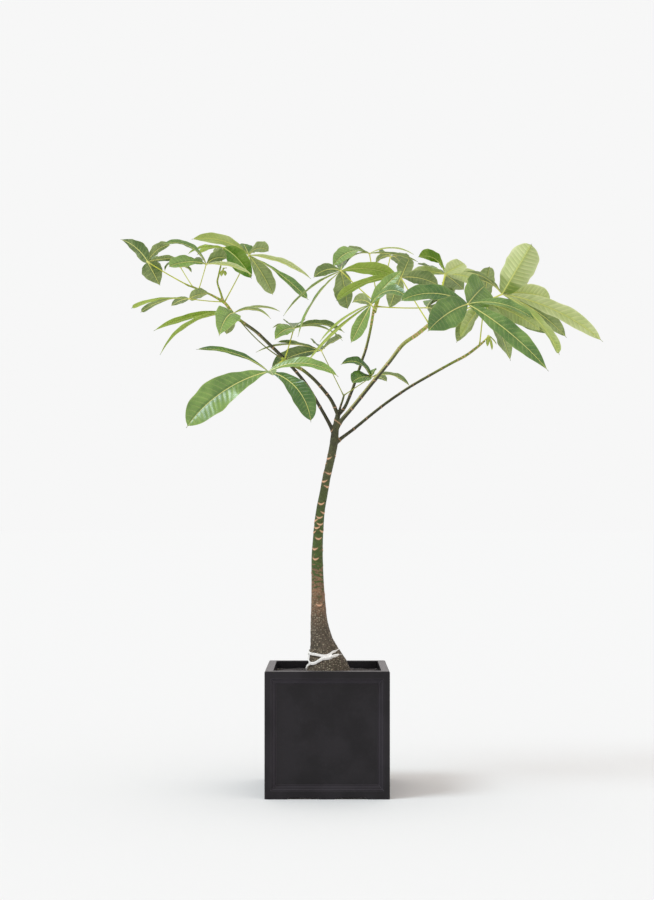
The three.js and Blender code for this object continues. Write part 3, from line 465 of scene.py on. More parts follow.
class TreeSettings(bpy.types.PropertyGroup):
    """Sizes and colours of the wood."""

    flutes: IntProperty(name="Flutes", description="Shallow flutes round the foot", default=5, min=0)
    flute_depth: share_setting("Flute depth", "Depth of the flutes as a share of the radius", 0.035)
    grain: length_setting("Grain", "Size of the wood's smallest faces", 1.3)
    scar_width: length_setting("Scar width", "Width of a leaf scar on the trunk", 16)
    foot_bark: colour_setting("Foot bark", "Colour of the old bark at the foot", "#66584a")
    tan_bark: colour_setting("Tan bark", "Colour of the corky bark half way up", "#9b7658")
    green_bark: colour_setting("Green bark", "Colour of the green bark", "#4a6123")
    # Dark bark colours the dark cracks and patches of the bark, and also the painted shade on it.
    dark_bark_and_shade: colour_setting("Dark bark", "Colour of the shaded bark", "#35321f")
    # Sunny bark is painted light on the side of the branches that faces the key light.
    painted_light_bark: colour_setting("Sunny bark", "Colour of the branches' upper side", "#d8d48c")
    shoot_green: colour_setting("Shoot green", "Colour of the youngest wood", "#b3c547")
    scar: colour_setting("Scar", "Colour of the leaf scars", "#ecb894")
    fleck: colour_setting("Fleck", "Colour of the pale flecks", "#c3b79d")


class TieSettings(bpy.types.PropertyGroup):
    """Sizes and colours of the tie."""

    width: length_setting("Width", "Width of the flat cord", 6)
    thickness: length_setting("Thickness", "Thickness of the flat cord", 2)
    cotton: colour_setting("Cotton", "Colour of the cord", "#fbfaf7")


class LeafSettings(bpy.types.PropertyGroup):
    """Sizes and colours of the leaves."""

    thickness: length_setting("Thickness", "Thickness of a blade", 0.5)
    petiole_scale: number_setting("Petiole scale", "Thickness of the stalks", 1)
    hub_radius: length_setting("Hub radius", "Radius of the knot where the leaflets meet", 3.0)
    fold: share_setting("Fold", "Rise of the edges as a share of the half width", 0.26, -1)
    waves: number_setting("Waves", "Waves along an edge", 2.5)
    wave: share_setting("Wave height", "Height of the waves as a share of the width", 0.045)
    scallop: share_setting("Scallop", "How much an edge goes in and out, as a share of the width", 0.03)
    deep: colour_setting("Deep green", "Upper side of the darkest leaves", "#3e6d26")
    light: colour_setting("Light green", "Upper side of the lightest leaves", "#9abd5e")
    under_deep: colour_setting("Underside", "Underside of the darkest leaves", "#5d7740")
    under_light: colour_setting("Light underside", "Underside of the lightest leaves", "#bfcd8c")
    glow: colour_setting("Glow", "Light that shines through a blade", "#a5c956")
    # Pale, palest, vivid and bright are painted backlight: lit copies of the underside's colours for blades
    # with the light behind them, beside their real translucency.
    pale: colour_setting("Pale green", "Pale blades with the light behind them", "#a8bd6a")
    palest: colour_setting("Palest green", "Palest blades with the light behind them", "#f4f8da")
    pale_glow: colour_setting("Pale glow", "Light that shines through a pale blade", "#ebf2bc")
    # Vivid green is also the colour of the painted shadow of other leaves on a blade.
    vivid: colour_setting("Vivid green", "Vivid blades with the light behind them", "#4d7804")
    bright: colour_setting("Bright green", "Bright blades with the light behind them", "#d0db74")
    vivid_glow: colour_setting("Vivid glow", "Light that shines through a vivid blade", "#a4cc2e")
    rib: colour_setting("Rib", "Midribs and hubs", "#eeec8c")
    tip: colour_setting("Tip", "Dry drip tips", "#3d4a1e")
    stalk: colour_setting("Stalk", "Petioles", "#d6da48")
    young: colour_setting("Young leaf", "Unfolding leaves", "#bccf4a")


class StageSettings(bpy.types.PropertyGroup):
    """The floor, the lights and the camera."""

    floor_colour: colour_setting("Floor", "Colour of the floor", "#eeeeee")
    backdrop: colour_setting("Backdrop", "Colour of the backdrop", "#f7f7f7")
    key_power: number_setting("Key", "Strength of the main light", 1.2)
    key_colour: colour_setting("Key colour", "Colour of the main light", "#e7f7ff")
    key_spread: FloatProperty(
        name="Key spread", description="How wide the main light looks", subtype="ANGLE",
        default=math.radians(22),
    )
    sky_strength: number_setting("Sky", "Strength of the even light", 0.85)
    sky_colour: colour_setting("Sky colour", "Colour of the even light", "#fffaf7")


SETTINGS = {
    "planter": PlanterSettings,
    "soil": SoilSettings,
    "tree": TreeSettings,
    "tie": TieSettings,
    "leaf": LeafSettings,
    "stage": StageSettings,
}


def settings(context, part):
    """The settings of one part of the plant."""
    return getattr(context.scene, f"money_tree_{part}")


# ---- Meshes ----


def seen(spot):
    """The place of a spot in the reference view, in metres."""
    across, down, depth = spot[:3]
    reach = (EYE_DISTANCE + depth) / PIXELS_PER_SLOPE
    x = (across - MIDDLE_ACROSS) * reach
    z = EYE_HEIGHT + (HORIZON_DOWN - down) * reach
    return np.array([x, depth, z]) * MM


def unit(vector):
    """A vector, or rows of vectors, of length one."""
    return vector / np.maximum(np.linalg.norm(vector, axis=-1, keepdims=True), 1e-9)


def smoothstep(low, high, value):
    """0 below low, 1 above high, and smooth between them."""
    share = np.clip((value - low) / (high - low), 0, 1)
    return share * share * (3 - 2 * share)


def add_trait(mesh, name, rows):
    """Stores a triple at each point of a mesh, for its material."""
    layer = mesh.attributes.new(name, "FLOAT_VECTOR", "POINT")
    layer.data.foreach_set("vector", rows.astype(np.float32).ravel())


class Shape:
    """Gathers the points and faces of one piece. Each point has two triples of traits for its material."""

    def __init__(self):
        self.points, self.traits, self.faces, self.looks = [], [], [], []

    def add(self, points, faces, look=0, place=(0, 0, 0), tone=(0, 0, 0)):
        """Adds points and faces, which count from the first of these points."""
        first = sum(len(part) for part in self.points)
        points = np.asarray(points, dtype=float)
        self.points.append(points)
        triples = [np.broadcast_to(np.asarray(trait, dtype=float), points.shape) for trait in (place, tone)]
        self.traits.append(np.hstack(triples))
        self.faces.extend([[corner + first for corner in face] for face in faces])
        self.looks.extend([look] * len(faces))

    def mesh(self, name, materials=()):
        """The gathered mesh with its shared points joined, without faces that shrink to a line."""
        mesh = bpy.data.meshes.new(name)
        mesh.from_pydata(np.vstack(self.points).tolist(), [], self.faces)
        for material in materials:
            mesh.materials.append(material)
        mesh.polygons.foreach_set("material_index", self.looks)
        mesh.polygons.foreach_set("use_smooth", [True] * len(self.faces))
        traits = np.vstack(self.traits)
        add_trait(mesh, "place", traits[:, :3])
        add_trait(mesh, "tone", traits[:, 3:])
        tidy = bmesh.new()
        tidy.from_mesh(mesh)
        bmesh.ops.remove_doubles(tidy, verts=tidy.verts, dist=1e-6)
        bmesh.ops.dissolve_degenerate(tidy, edges=tidy.edges, dist=1e-7)
        tidy.to_mesh(mesh)
        tidy.free()
        return mesh


def place_piece(name, mesh, cad_node):
    """Links a mesh as a piece that rides on the plant's one body and stands for a node."""
    piece = bpy.data.objects.new(name, mesh)
    bpy.context.scene.collection.objects.link(piece)
    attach(piece, "root")
    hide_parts(cad_node)
    return piece


def grid_faces(rows, columns):
    """The squares between rows and columns of points, row by row."""
    starts = [row * columns + column for row in range(rows - 1) for column in range(columns - 1)]
    return [[at, at + 1, at + columns + 1, at + columns] for at in starts]


def skin(rings, loop=False):
    """Points and faces of a closed skin over rings of the same number of points."""
    sides = len(rings[0])
    points = [point for ring in rings for point in ring]
    faces = []
    for r in range(len(rings) if loop else len(rings) - 1):
        near, far = r * sides, (r + 1) % len(rings) * sides
        for k in range(sides):
            nxt = (k + 1) % sides
            faces.append([near + k, near + nxt, far + nxt, far + k])
    if not loop:
        last = (len(rings) - 1) * sides
        faces.append(list(range(sides))[::-1])
        faces.append([last + k for k in range(sides)])
    return points, faces


def limb_rings(places, radii, sides):
    """Rings round a line of places, kept from turning about it."""
    places = np.asarray(places)
    along = unit(np.gradient(places, axis=0))
    across = np.array([1.0, 0.0, 0.0])
    rings = []
    for place, forward, radius in zip(places, along, radii):
        across = unit(across - across.dot(forward) * forward)
        aside = np.cross(forward, across)
        angles = np.arange(sides) / sides * FULL_TURN
        circle = np.outer(np.cos(angles), across) + np.outer(np.sin(angles), aside)
        rings.append(place + circle * radius)
    return rings


def smooth_line(spots, step):
    """A smooth line through spots of place and radius, with a point about every step."""
    spots = np.asarray(spots, dtype=float)
    ends = np.vstack([2 * spots[0] - spots[1], spots, 2 * spots[-1] - spots[-2]])
    line = []
    for i in range(1, len(ends) - 2):
        a, b, c, d = ends[i - 1 : i + 3]
        count = max(2, int(np.linalg.norm(c[:3] - b[:3]) / step))
        for t in np.arange(count) / count:
            bend = (2 * a - 5 * b + 4 * c - d) * t * t + (3 * b - a - 3 * c + d) * t**3
            line.append(b + 0.5 * ((c - a) * t + bend))
    line.append(spots[-1])
    return np.array(line)


# ---- Materials ----


def feed(tree, socket, value):
    """Sets a socket to a constant, or links it to the socket that feeds it."""
    if isinstance(value, bpy.types.NodeSocket):
        tree.links.new(value, socket)
    elif socket.type == "RGBA":
        socket.default_value = (*value[:3], 1)
    else:
        socket.default_value = value


def node(tree, kind, inputs=None, **options):
    """Adds a node. An input's value is a constant or the socket that feeds it."""
    made = tree.nodes.new(kind)
    for name, value in options.items():
        setattr(made, name, value)
    for name, value in (inputs or {}).items():
        feed(tree, made.inputs[name], value)
    return made


def maths(tree, operation, a, b=0.0, clamp=False):
    """The result of one sum."""
    return node(tree, "ShaderNodeMath", {0: a, 1: b}, operation=operation, use_clamp=clamp).outputs[0]


def times(tree, a, b):
    """The product of two values."""
    return maths(tree, "MULTIPLY", a, b)


def plus(tree, a, b):
    """The sum of two values."""
    return maths(tree, "ADD", a, b)


def rest_of(tree, share):
    """What a share leaves of 1."""
    return maths(tree, "SUBTRACT", 1.0, share)


def ease(tree, value, low, high):
    """0 at low and 1 at high, with a smooth change between them."""
    inputs = {"Value": value, "From Min": low, "From Max": high}
    return node(tree, "ShaderNodeMapRange", inputs, interpolation_type="SMOOTHSTEP").outputs["Result"]


def blend_colours(tree, share, first, second):
    """A mix of two colours."""
    return node(tree, "ShaderNodeMix", {0: share, 6: first, 7: second}, data_type="RGBA").outputs[2]


def layered(tree, colour, layers):
    """A colour with others laid over it. Each layer has its mask, the mask's strength and its colour."""
    for mask, strength, over in layers:
        share = mask if strength == 1 else times(tree, mask, strength)
        colour = blend_colours(tree, share, colour, over)
    return colour


def noise(tree, place, scale, detail=3.0):
    """A noise value round a half."""
    inputs = {"Vector": place, "Scale": scale, "Detail": detail, "Roughness": 0.55}
    return node(tree, "ShaderNodeTexNoise", inputs).outputs[0]


def parts_of(tree, vector):
    """The three values of a vector."""
    return node(tree, "ShaderNodeSeparateXYZ", {"Vector": vector}).outputs


def attribute(tree, name):
    """The value triple stored at each point."""
    return node(tree, "ShaderNodeAttribute", attribute_name=name).outputs["Vector"]


def traits_of(tree, name):
    """The three values stored at each point."""
    return parts_of(tree, attribute(tree, name))


def mottle_nodes(tree, given):
    """Cloudy patches and a fine grain, for every natural surface."""
    patches = noise(tree, given["Place"], given["Patch scale"])
    return {
        "Patches": ease(tree, patches, 0.35, 0.65),
        "Grain": noise(tree, given["Place"], given["Grain scale"], 2.0),
    }


def speckle_nodes(tree, given):
    """Small scattered specks: flecks in bark, grains in soil, spots on a leaf."""
    cells = node(tree, "ShaderNodeTexVoronoi", {"Vector": given["Place"], "Scale": given["Scale"]})
    near = maths(tree, "LESS_THAN", cells.outputs["Distance"], given["Size"])
    draw = node(tree, "ShaderNodeSeparateColor", {"Color": cells.outputs["Color"]}).outputs["Red"]
    return {"Specks": times(tree, near, maths(tree, "LESS_THAN", draw, given["Share"]))}


def vein_nodes(tree, given):
    """A blade's veins, from a place of across, vein count and along, and the midrib's own share, with masks
    for painted shade between the veins, beside each lateral vein and beside the midrib.
    """
    parts = parts_of(tree, given["Place"])
    away = maths(tree, "ABSOLUTE", parts["X"])
    right = maths(tree, "GREATER_THAN", parts["X"], 0.0)
    count = plus(tree, parts["Y"], times(tree, right, VEIN_SHIFT))
    cycle = maths(tree, "PINGPONG", count, 0.5)
    past = maths(tree, "PINGPONG", plus(tree, count, VEIN_SHADE_SHIFT), 0.5)
    width = times(tree, given["Vein width"], maths(tree, "SUBTRACT", 1.2, away))
    inside = rest_of(tree, ease(tree, away, 0.8, 0.97))
    lateral = maths(tree, "SUBTRACT", 1.0, ease(tree, cycle, 0.0, width), clamp=True)
    shade = maths(tree, "SUBTRACT", 1.0, ease(tree, past, 0.0, times(tree, width, 1.3)), clamp=True)
    midrib = ease(tree, given["Rib"], 0.05, 0.4)
    beside = rest_of(tree, ease(tree, away, 0.08, 0.24))
    return {
        "Midrib": midrib,
        "Painted crease shadow": maths(tree, "SUBTRACT", beside, midrib, clamp=True),
        "Laterals": times(tree, lateral, inside),
        "Painted pucker shadow": times(tree, ease(tree, cycle, 0.0, 0.45), inside),
        "Painted vein shadow": times(tree, shade, inside),
        "Edge": ease(tree, away, 0.95, 0.99),
    }


# The shared node groups: what fills each, its inputs beside the place, and its outputs.
GROUPS = {
    "Mottle": (mottle_nodes, {"Patch scale": 30.0, "Grain scale": 400.0}, ["Patches", "Grain"]),
    "Speckle": (speckle_nodes, {"Scale": 300.0, "Size": 0.25, "Share": 0.3}, ["Specks"]),
    "Leaf veins": (
        vein_nodes, {"Rib": 0.0, "Vein width": 0.09},
        ["Midrib", "Painted crease shadow", "Laterals", "Painted pucker shadow", "Painted vein shadow", "Edge"],
    ),
}


def shared_group(name):
    """A shared node group, built on its first use."""
    if name in bpy.data.node_groups:
        return bpy.data.node_groups[name]
    fill, inputs, outputs = GROUPS[name]
    tree = bpy.data.node_groups.new(name, "ShaderNodeTree")
    tree.interface.new_socket("Place", in_out="INPUT", socket_type="NodeSocketVector")
    for label, default in inputs.items():
        socket = tree.interface.new_socket(label, in_out="INPUT", socket_type="NodeSocketFloat")
        socket.default_value = default
    for label in outputs:
        tree.interface.new_socket(label, in_out="OUTPUT", socket_type="NodeSocketFloat")
    given = tree.nodes.new("NodeGroupInput").outputs
    result = tree.nodes.new("NodeGroupOutput").inputs
    for label, socket in fill(tree, given).items():
        tree.links.new(socket, result[label])
    return tree


def use_group(tree, name, place, inputs):
    """Places a shared node group and returns its outputs."""
    made = tree.nodes.new("ShaderNodeGroup")
    made.node_tree = shared_group(name)
    for label, value in {"Place": place, **inputs}.items():
        feed(tree, made.inputs[label], value)
    return made.outputs


def mottled(tree, place, patch_scale, grain_scale):
    """Cloudy patches and a fine grain at a place."""
    return use_group(tree, "Mottle", place, {"Patch scale": patch_scale, "Grain scale": grain_scale})


def specks_of(tree, place, scale, size, share):
    """The mask of scattered specks at a place."""
    inputs = {"Scale": scale, "Size": size, "Share": share}
    return use_group(tree, "Speckle", place, inputs)["Specks"]


def start_material(name):
    """A material with only its output, the node tree and the place on the object."""
    material = bpy.data.materials.new(name)
    material.use_nodes = True
    tree = material.node_tree
    tree.nodes.clear()
    output = tree.nodes.new("ShaderNodeOutputMaterial")
    place = tree.nodes.new("ShaderNodeTexCoord").outputs["Object"]
    return material, tree, output, place


def finish_surface(tree, output, colour, roughness, grain, height, bump, constants=None):
    """A principled surface with a bump. Its roughness is a least value and how much the grain adds."""
    least, added = roughness
    relief = node(tree, "ShaderNodeBump", {"Height": height, "Strength": 1.0, "Distance": bump})
    rough = plus(tree, least, times(tree, grain, added))
    inputs = {"Base Color": colour, "Roughness": rough, "Normal": relief.outputs[0], **(constants or {})}
    shader = node(tree, "ShaderNodeBsdfPrincipled", inputs)
    tree.links.new(shader.outputs[0], output.inputs["Surface"])
    return shader, relief


def blade_material(name, s, colours, glow, through, fine=0.2, underside=False):
    """One side of the blades, from a deep to a light colour, with the share of light that goes through,
    painted shade between and beside the veins and beside the midrib, and painted shadow of other leaves.
    """
    material, tree, output, place = start_material(name)
    deep, light = colours
    tone = traits_of(tree, "tone")
    spot = attribute(tree, "place")
    along = parts_of(tree, spot)["Z"]
    vein_width = 0.16 if underside else 0.12
    veins = use_group(tree, "Leaf veins", spot, {"Rib": tone["Y"], "Vein width": vein_width})
    mottle = mottled(tree, place, 24.0, 900.0)
    specks = specks_of(tree, place, 55.0, 0.05, 0.1)
    cloud = times(tree, maths(tree, "SUBTRACT", mottle["Patches"], 0.5), 0.5)
    blade = blend_colours(tree, maths(tree, "ADD", tone["X"], cloud, clamp=True), deep, light)
    # Painted shade between the veins, beside each lateral vein and in the crease beside the midrib, and
    # painted shadow of other leaves in vivid green.
    blade = layered(tree, blade, [
        (veins["Painted pucker shadow"], fine, deep),
        (veins["Painted vein shadow"], fine, s.under_deep),
        (tone["Z"], 1, s.vivid),
        (veins["Laterals"], fine, s.rib),
        (veins["Painted crease shadow"], 0.45, deep),
        (veins["Edge"], 0.3, s.rib),
        (veins["Midrib"], 1, s.rib),
        (specks, 0.6, LEAF_SPOT),
        (ease(tree, along, 0.96, 0.99), 0.8, s.tip),
    ])
    raised = times(tree, veins["Laterals"], 0.4 if underside else -0.3)
    height = plus(tree, raised, times(tree, mottle["Grain"], 0.1))
    roughness = (0.42 if underside else 0.2, 0.16)
    gloss = {"Specular IOR Level": 0.45 if underside else 0.9}
    shader, relief = finish_surface(tree, output, blade, roughness, mottle["Grain"], height, 0.0006, gloss)
    shine = node(tree, "ShaderNodeBsdfTranslucent", {"Color": glow, "Normal": relief.outputs[0]})
    mix = node(tree, "ShaderNodeMixShader", {0: through, 1: shader.outputs[0], 2: shine.outputs[0]})
    tree.links.new(mix.outputs[0], output.inputs["Surface"])
    return material


def stalk_material(name, s):
    """Petioles and hubs, darker towards the branch, with painted shade on the petioles that lie in shade."""
    material, tree, output, place = start_material(name)
    spot = traits_of(tree, "place")
    mottle = mottled(tree, place, 120.0, 1500.0)
    shade = layered(tree, s.stalk, [
        (rest_of(tree, ease(tree, spot["Z"], 0.0, 0.16)), 0.55, STALK_FOOT),
        # Painted shade on the petioles that lie in the shade of the leaves.
        (spot["X"], 0.85, STALK_PAINTED_SHADE),
        (ease(tree, spot["Z"], 0.85, 1.0), 1, s.rib),
        (mottle["Patches"], 0.25, STALK_PATCH),
    ])
    finish_surface(tree, output, shade, (0.4, 0.15), mottle["Grain"], mottle["Grain"], 0.0002)
    return material


def bark_material(s):
    """Bark from the rough brown foot over tan and green patches to the green shoots, with its scars, and with
    painted shade and painted light by how the light falls on it.
    """
    material, tree, output, place = start_material("bark")
    traits = traits_of(tree, "place")
    age, scar = traits["X"], traits["Y"]
    # Painted shade where the stored shading is above 0, and painted light where it is below 0.
    shaded = maths(tree, "MAXIMUM", traits["Z"], 0.0)
    painted_light = maths(tree, "MAXIMUM", times(tree, traits["Z"], -1.0), 0.0)
    wide = node(tree, "ShaderNodeMapping", {"Vector": place, "Scale": (1.0, 1.0, 2.2)}).outputs[0]
    mottle = mottled(tree, place, 150.0, 700.0)
    broad = mottled(tree, wide, 85.0, 260.0)
    flecks = specks_of(tree, wide, 215.0, 0.4, 0.36)
    turning = times(tree, maths(tree, "SUBTRACT", age, 0.29), 7.0)
    greening = ease(tree, plus(tree, broad["Patches"], turning), 0.25, 0.75)
    brown = blend_colours(tree, ease(tree, age, 0.1, 0.24), s.foot_bark, s.tan_bark)
    old = rest_of(tree, ease(tree, age, 0.12, 0.36))
    cracks = times(tree, ease(tree, broad["Grain"], 0.48, 0.62), times(tree, old, 0.75))
    shade = layered(tree, brown, [
        (greening, 1, s.green_bark),
        (ease(tree, age, 0.38, 0.52), 0.5, s.foot_bark),
        (ease(tree, age, 0.8, 0.97), 1, s.shoot_green),
        (cracks, 1, s.dark_bark_and_shade),
        (mottle["Patches"], plus(tree, 0.45, times(tree, old, 0.15)), s.dark_bark_and_shade),
        (shaded, 0.85, s.dark_bark_and_shade),
        (painted_light, 1, s.painted_light_bark),
        (times(tree, flecks, old), 0.75, s.fleck),
        (scar, 1, s.scar),
    ])
    height = plus(tree, times(tree, mottle["Patches"], -0.6), mottle["Grain"])
    height = plus(tree, height, times(tree, flecks, 0.5))
    finish_surface(tree, output, shade, (0.5, 0.35), mottle["Grain"], height, 0.0011)
    return material


def planter_material(name, s, dust_and_sheen_share):
    """Matte charcoal resin with a fine speckle. The share is how much of the dust colour lies on it: real
    dust and wear, and on the rim and the rounded edges also a painted sheen.
    """
    material, tree, output, place = start_material(name)
    mottle = mottled(tree, place, 14.0, 1400.0)
    specks = specks_of(tree, place, 900.0, 0.3, 0.12)
    dust_and_sheen_mask = plus(tree, dust_and_sheen_share, times(tree, mottle["Patches"], 0.08))
    shade = layered(tree, s.charcoal, [(dust_and_sheen_mask, 1, s.dust_and_sheen), (specks, 0.3, s.dust_and_sheen)])
    gloss = {"Specular IOR Level": 0.22}
    finish_surface(tree, output, shade, (0.24, 0.16), mottle["Grain"], mottle["Grain"], 0.0002, gloss)
    return material


def soil_material(s):
    """Dry potting mix with pale and dark grains."""
    material, tree, output, place = start_material("soil_mix")
    tone = traits_of(tree, "place")["X"]
    mottle = mottled(tree, place, 60.0, 700.0)
    specks = specks_of(tree, place, 330.0, 0.33, 0.3)
    shade = layered(tree, s.earth, [
        (mottle["Patches"], 0.5, s.dry),
        (specks, 0.6, SOIL_GRAIN),
        (tone, 0.8, s.dry),
    ])
    height = plus(tree, mottle["Grain"], specks)
    finish_surface(tree, output, shade, (0.8, 0.2), mottle["Grain"], height, 0.001)
    return material


def tie_material(s):
    """White woven cotton, with a painted glow that keeps it white in the shade."""
    material, tree, output, place = start_material("tie_cotton")
    spot = traits_of(tree, "place")
    weave = times(tree, maths(tree, "SINE", spot["X"]), maths(tree, "SINE", spot["Y"]))
    mottle = mottled(tree, place, 120.0, 2500.0)
    shade = layered(tree, s.cotton, [(mottle["Patches"], 0.2, COTTON_SHADE)])
    # A painted glow: the cotton gives off a little light of its own, so it stays white in the shade of the
    # planter.
    glow = {"Emission Color": shade, "Emission Strength": 0.12}
    height = plus(tree, weave, mottle["Grain"])
    finish_surface(tree, output, shade, (0.7, 0.2), mottle["Grain"], height, 0.0003, glow)
    return material


# ---- The planter ----


class PlanterMesh:
    """Builds the planter's faces on shared points."""

    def __init__(self):
        self.mesh = bmesh.new()
        self.known = {}

    def face(self, corners, look=0):
        """One face through its corners, in metres."""
        spots = []
        for corner in corners:
            key = tuple(round(value, 6) for value in corner)
            if key not in self.known:
                self.known[key] = self.mesh.verts.new(key)
            if not spots or self.known[key] is not spots[-1]:
                spots.append(self.known[key])
        if len(set(spots)) > 2:
            self.mesh.faces.new(spots).material_index = look

    def plate(self, xs, ys, height, hole=None):
        """A grid of cells at a height for each of its points. Cells that hold a hole get one."""
        for x0, x1 in zip(xs, xs[1:]):
            for y0, y1 in zip(ys, ys[1:]):
                square = [(x0, y0), (x1, y0), (x1, y1), (x0, y1)]
                middle = ((x0 + x1) / 2, (y0 + y1) / 2)
                if hole and hole(middle):
                    self.drained_cell(square, middle, height(*middle), hole(middle))
                else:
                    self.face([(x, y, height(x, y)) for x, y in square])

    def drained_cell(self, square, middle, level, radius):
        """A square cell with a round hole, as four faces."""
        for side in range(4):
            start = math.radians(225 + 90 * side)
            arc = [start + math.radians(90) * step / 6 for step in range(7)]
            rim = [(middle[0] + radius * math.cos(a), middle[1] + radius * math.sin(a), level) for a in arc]
            (x0, y0), (x1, y1) = square[side], square[(side + 1) % 4]
            self.face([(x0, y0, level), (x1, y1, level), *rim[::-1]])


def planter_panel(builder, s, turned, bottom_edge):
    """One side: its flat border, with the feet along its lower edge, and the stepped panel."""
    half, top = PLANTER_HALF, PLANTER_TOP

    def rectangle(inset, depth):
        width = half - s.side_border - inset
        low = s.bottom_border + inset
        high = top - s.top_border - inset
        return [(-width, depth, low), (width, depth, low), (width, depth, high), (-width, depth, high)]

    outer = rectangle(0, 0)
    corners = [(-half, 0, 0), (half, 0, 0), (half, 0, top), (-half, 0, top)]
    lower = [(x, 0, z) for x, z in bottom_edge]
    builder.face(turned([*lower, outer[1], outer[0]]))
    for k in (1, 2, 3):
        builder.face(turned([corners[k], corners[(k + 1) % 4], outer[(k + 1) % 4], outer[k]]))
    ring = outer
    for step in range(s.steps):
        for inset, depth in ((step + STEP_SLOPE, step + 1), (step + 1, step + 1)):
            if inset == s.steps:
                break
            inner = rectangle(inset * s.step_width, depth * s.step_depth)
            for k in range(4):
                builder.face(turned([ring[k], ring[(k + 1) % 4], inner[(k + 1) % 4], inner[k]]))
            ring = inner
    builder.face(turned(ring))


def build_planter(s):
    """The planter with its panels, feet, drains and inside."""
    half, top = PLANTER_HALF, PLANTER_TOP
    inner = half - PLANTER_WALL
    pad, gap = s.middle_foot / 2, half - s.corner_foot
    lines = [-half, -gap, -gap + s.foot_height, -pad - s.foot_height, -pad]
    lines += [-value for value in lines[::-1]]
    floor_line = [-inner, -gap + s.foot_height, -pad - s.foot_height]
    floor_line += [-value for value in floor_line[::-1]]

    def raised(value):
        over = pad + s.foot_height - 1e-6 < abs(value) < gap - s.foot_height + 1e-6
        return s.foot_height if over else 0.0

    def drain(middle):
        return s.drain_radius if all(raised(value) for value in middle) else None

    def underside(x, y):
        return max(raised(x), raised(y))

    builder = PlanterMesh()
    bottom_edge = [(x, raised(x)) for x in lines]
    for side in range(4):
        cos, sin = (1, 0, -1, 0)[side], (0, 1, 0, -1)[side]

        def turned(corners, cos=cos, sin=sin):
            flat = [(x, depth - half, z) for x, depth, z in corners]
            return [(x * cos - y * sin, x * sin + y * cos, z) for x, y, z in flat]

        planter_panel(builder, s, turned, bottom_edge)
        wall_top = [(inner, PLANTER_WALL, top), (-inner, PLANTER_WALL, top)]
        wall_foot = [(x, PLANTER_WALL, s.floor_top) for x in floor_line[::-1]]
        # The rim's top takes the edge material: worn dust and a painted sheen where it catches the light.
        builder.face(turned([(-half, 0, top), (half, 0, top), *wall_top]), look=1)
        builder.face(turned([*wall_top[::-1], *wall_foot]))
    builder.plate(lines, lines, underside, drain)
    builder.plate(floor_line, floor_line, lambda x, y: s.floor_top, drain)
    middle = (pad + gap) / 2
    for x, y in ((middle, middle), (-middle, middle), (-middle, -middle), (middle, -middle)):
        arcs = [math.radians(45 + 15 * step) for step in range(25)]
        for a, b in zip(arcs, arcs[1:]):
            low = [(x + s.drain_radius * math.cos(t), y + s.drain_radius * math.sin(t)) for t in (a, b)]
            foot = [(*spot, s.foot_height) for spot in low]
            builder.face([*foot, *[(*spot, s.floor_top) for spot in low[::-1]]])
    mesh = builder.mesh
    upright = [
        edge for edge in mesh.edges
        if all(abs(abs(v.co.x) - half) < 1e-5 and abs(abs(v.co.y) - half) < 1e-5 for v in edge.verts)
    ]
    bmesh.ops.bevel(
        mesh, geom=upright, offset=s.corner_round, offset_type="OFFSET", segments=4, profile=0.5,
        affect="EDGES",
    )
    bmesh.ops.recalc_face_normals(mesh, faces=mesh.faces)
    result = bpy.data.meshes.new("planter_body")
    mesh.to_mesh(result)
    mesh.free()
    return result


def round_edges(piece, width, look):
    """Rounds a piece's sharp edges and gives them one of its materials."""
    bevel = piece.modifiers.new("rounded", "BEVEL")
    bevel.width = width
    bevel.segments = 2
    bevel.limit_method = "ANGLE"
    bevel.angle_limit = math.radians(30)
    bevel.harden_normals = True
    bevel.material = look


# ---- The soil ----


def soil_height(s, x, y):
    """The soil's level at a place, in metres."""
    reach = PLANTER_HALF - PLANTER_WALL
    mound = s.mound * np.cos(x / reach * MOUND_FALL) * np.cos(y / reach * MOUND_FALL)
    x, y = x / MM, y / MM
    clods = np.sin(x * CLOD_ACROSS + CLOD_SWING * np.sin(y * CLOD_SWAY))
    clods = clods + np.sin(y * CLOD_ALONG - x * CLOD_SLANT + CLOD_START)
    return PLANTER_TOP - s.below_rim + mound + clods * s.clod


def soil_bed(shape, s, draw):
    """The bed of soil: a rough top with fine clods, upright sides and a flat underside."""
    low, high = (np.array(corner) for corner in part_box("soil"))
    count = SOIL_POINTS
    xs = np.linspace(low[0], high[0], count)
    ys = np.linspace(low[1], high[1], count)
    grid_x, grid_y = np.meshgrid(xs, ys)
    level = soil_height(s, grid_x, grid_y)
    inner = (slice(1, -1), slice(1, -1))
    level[inner] += draw.normal(0, FINE_CLOD, (count - 2, count - 2))
    level = np.minimum(level, high[2])
    top = np.stack([grid_x, grid_y, level], axis=-1).reshape(-1, 3)
    faces = grid_faces(count, count)
    edge = list(range(count - 1))
    edge += [row * count + count - 1 for row in range(count - 1)]
    edge += [(count - 1) * count + column for column in range(count - 1, 0, -1)]
    edge += [row * count for row in range(count - 1, 0, -1)]
    first = len(top)
    skirt = top[edge].copy()
    skirt[:, 2] = low[2]
    for i, corner in enumerate(edge):
        after = (i + 1) % len(edge)
        faces.append([corner, first + i, first + after, edge[after]])
    faces.append([first + i for i in range(len(edge))][::-1])
    shape.add(np.vstack([top, skirt]), faces)


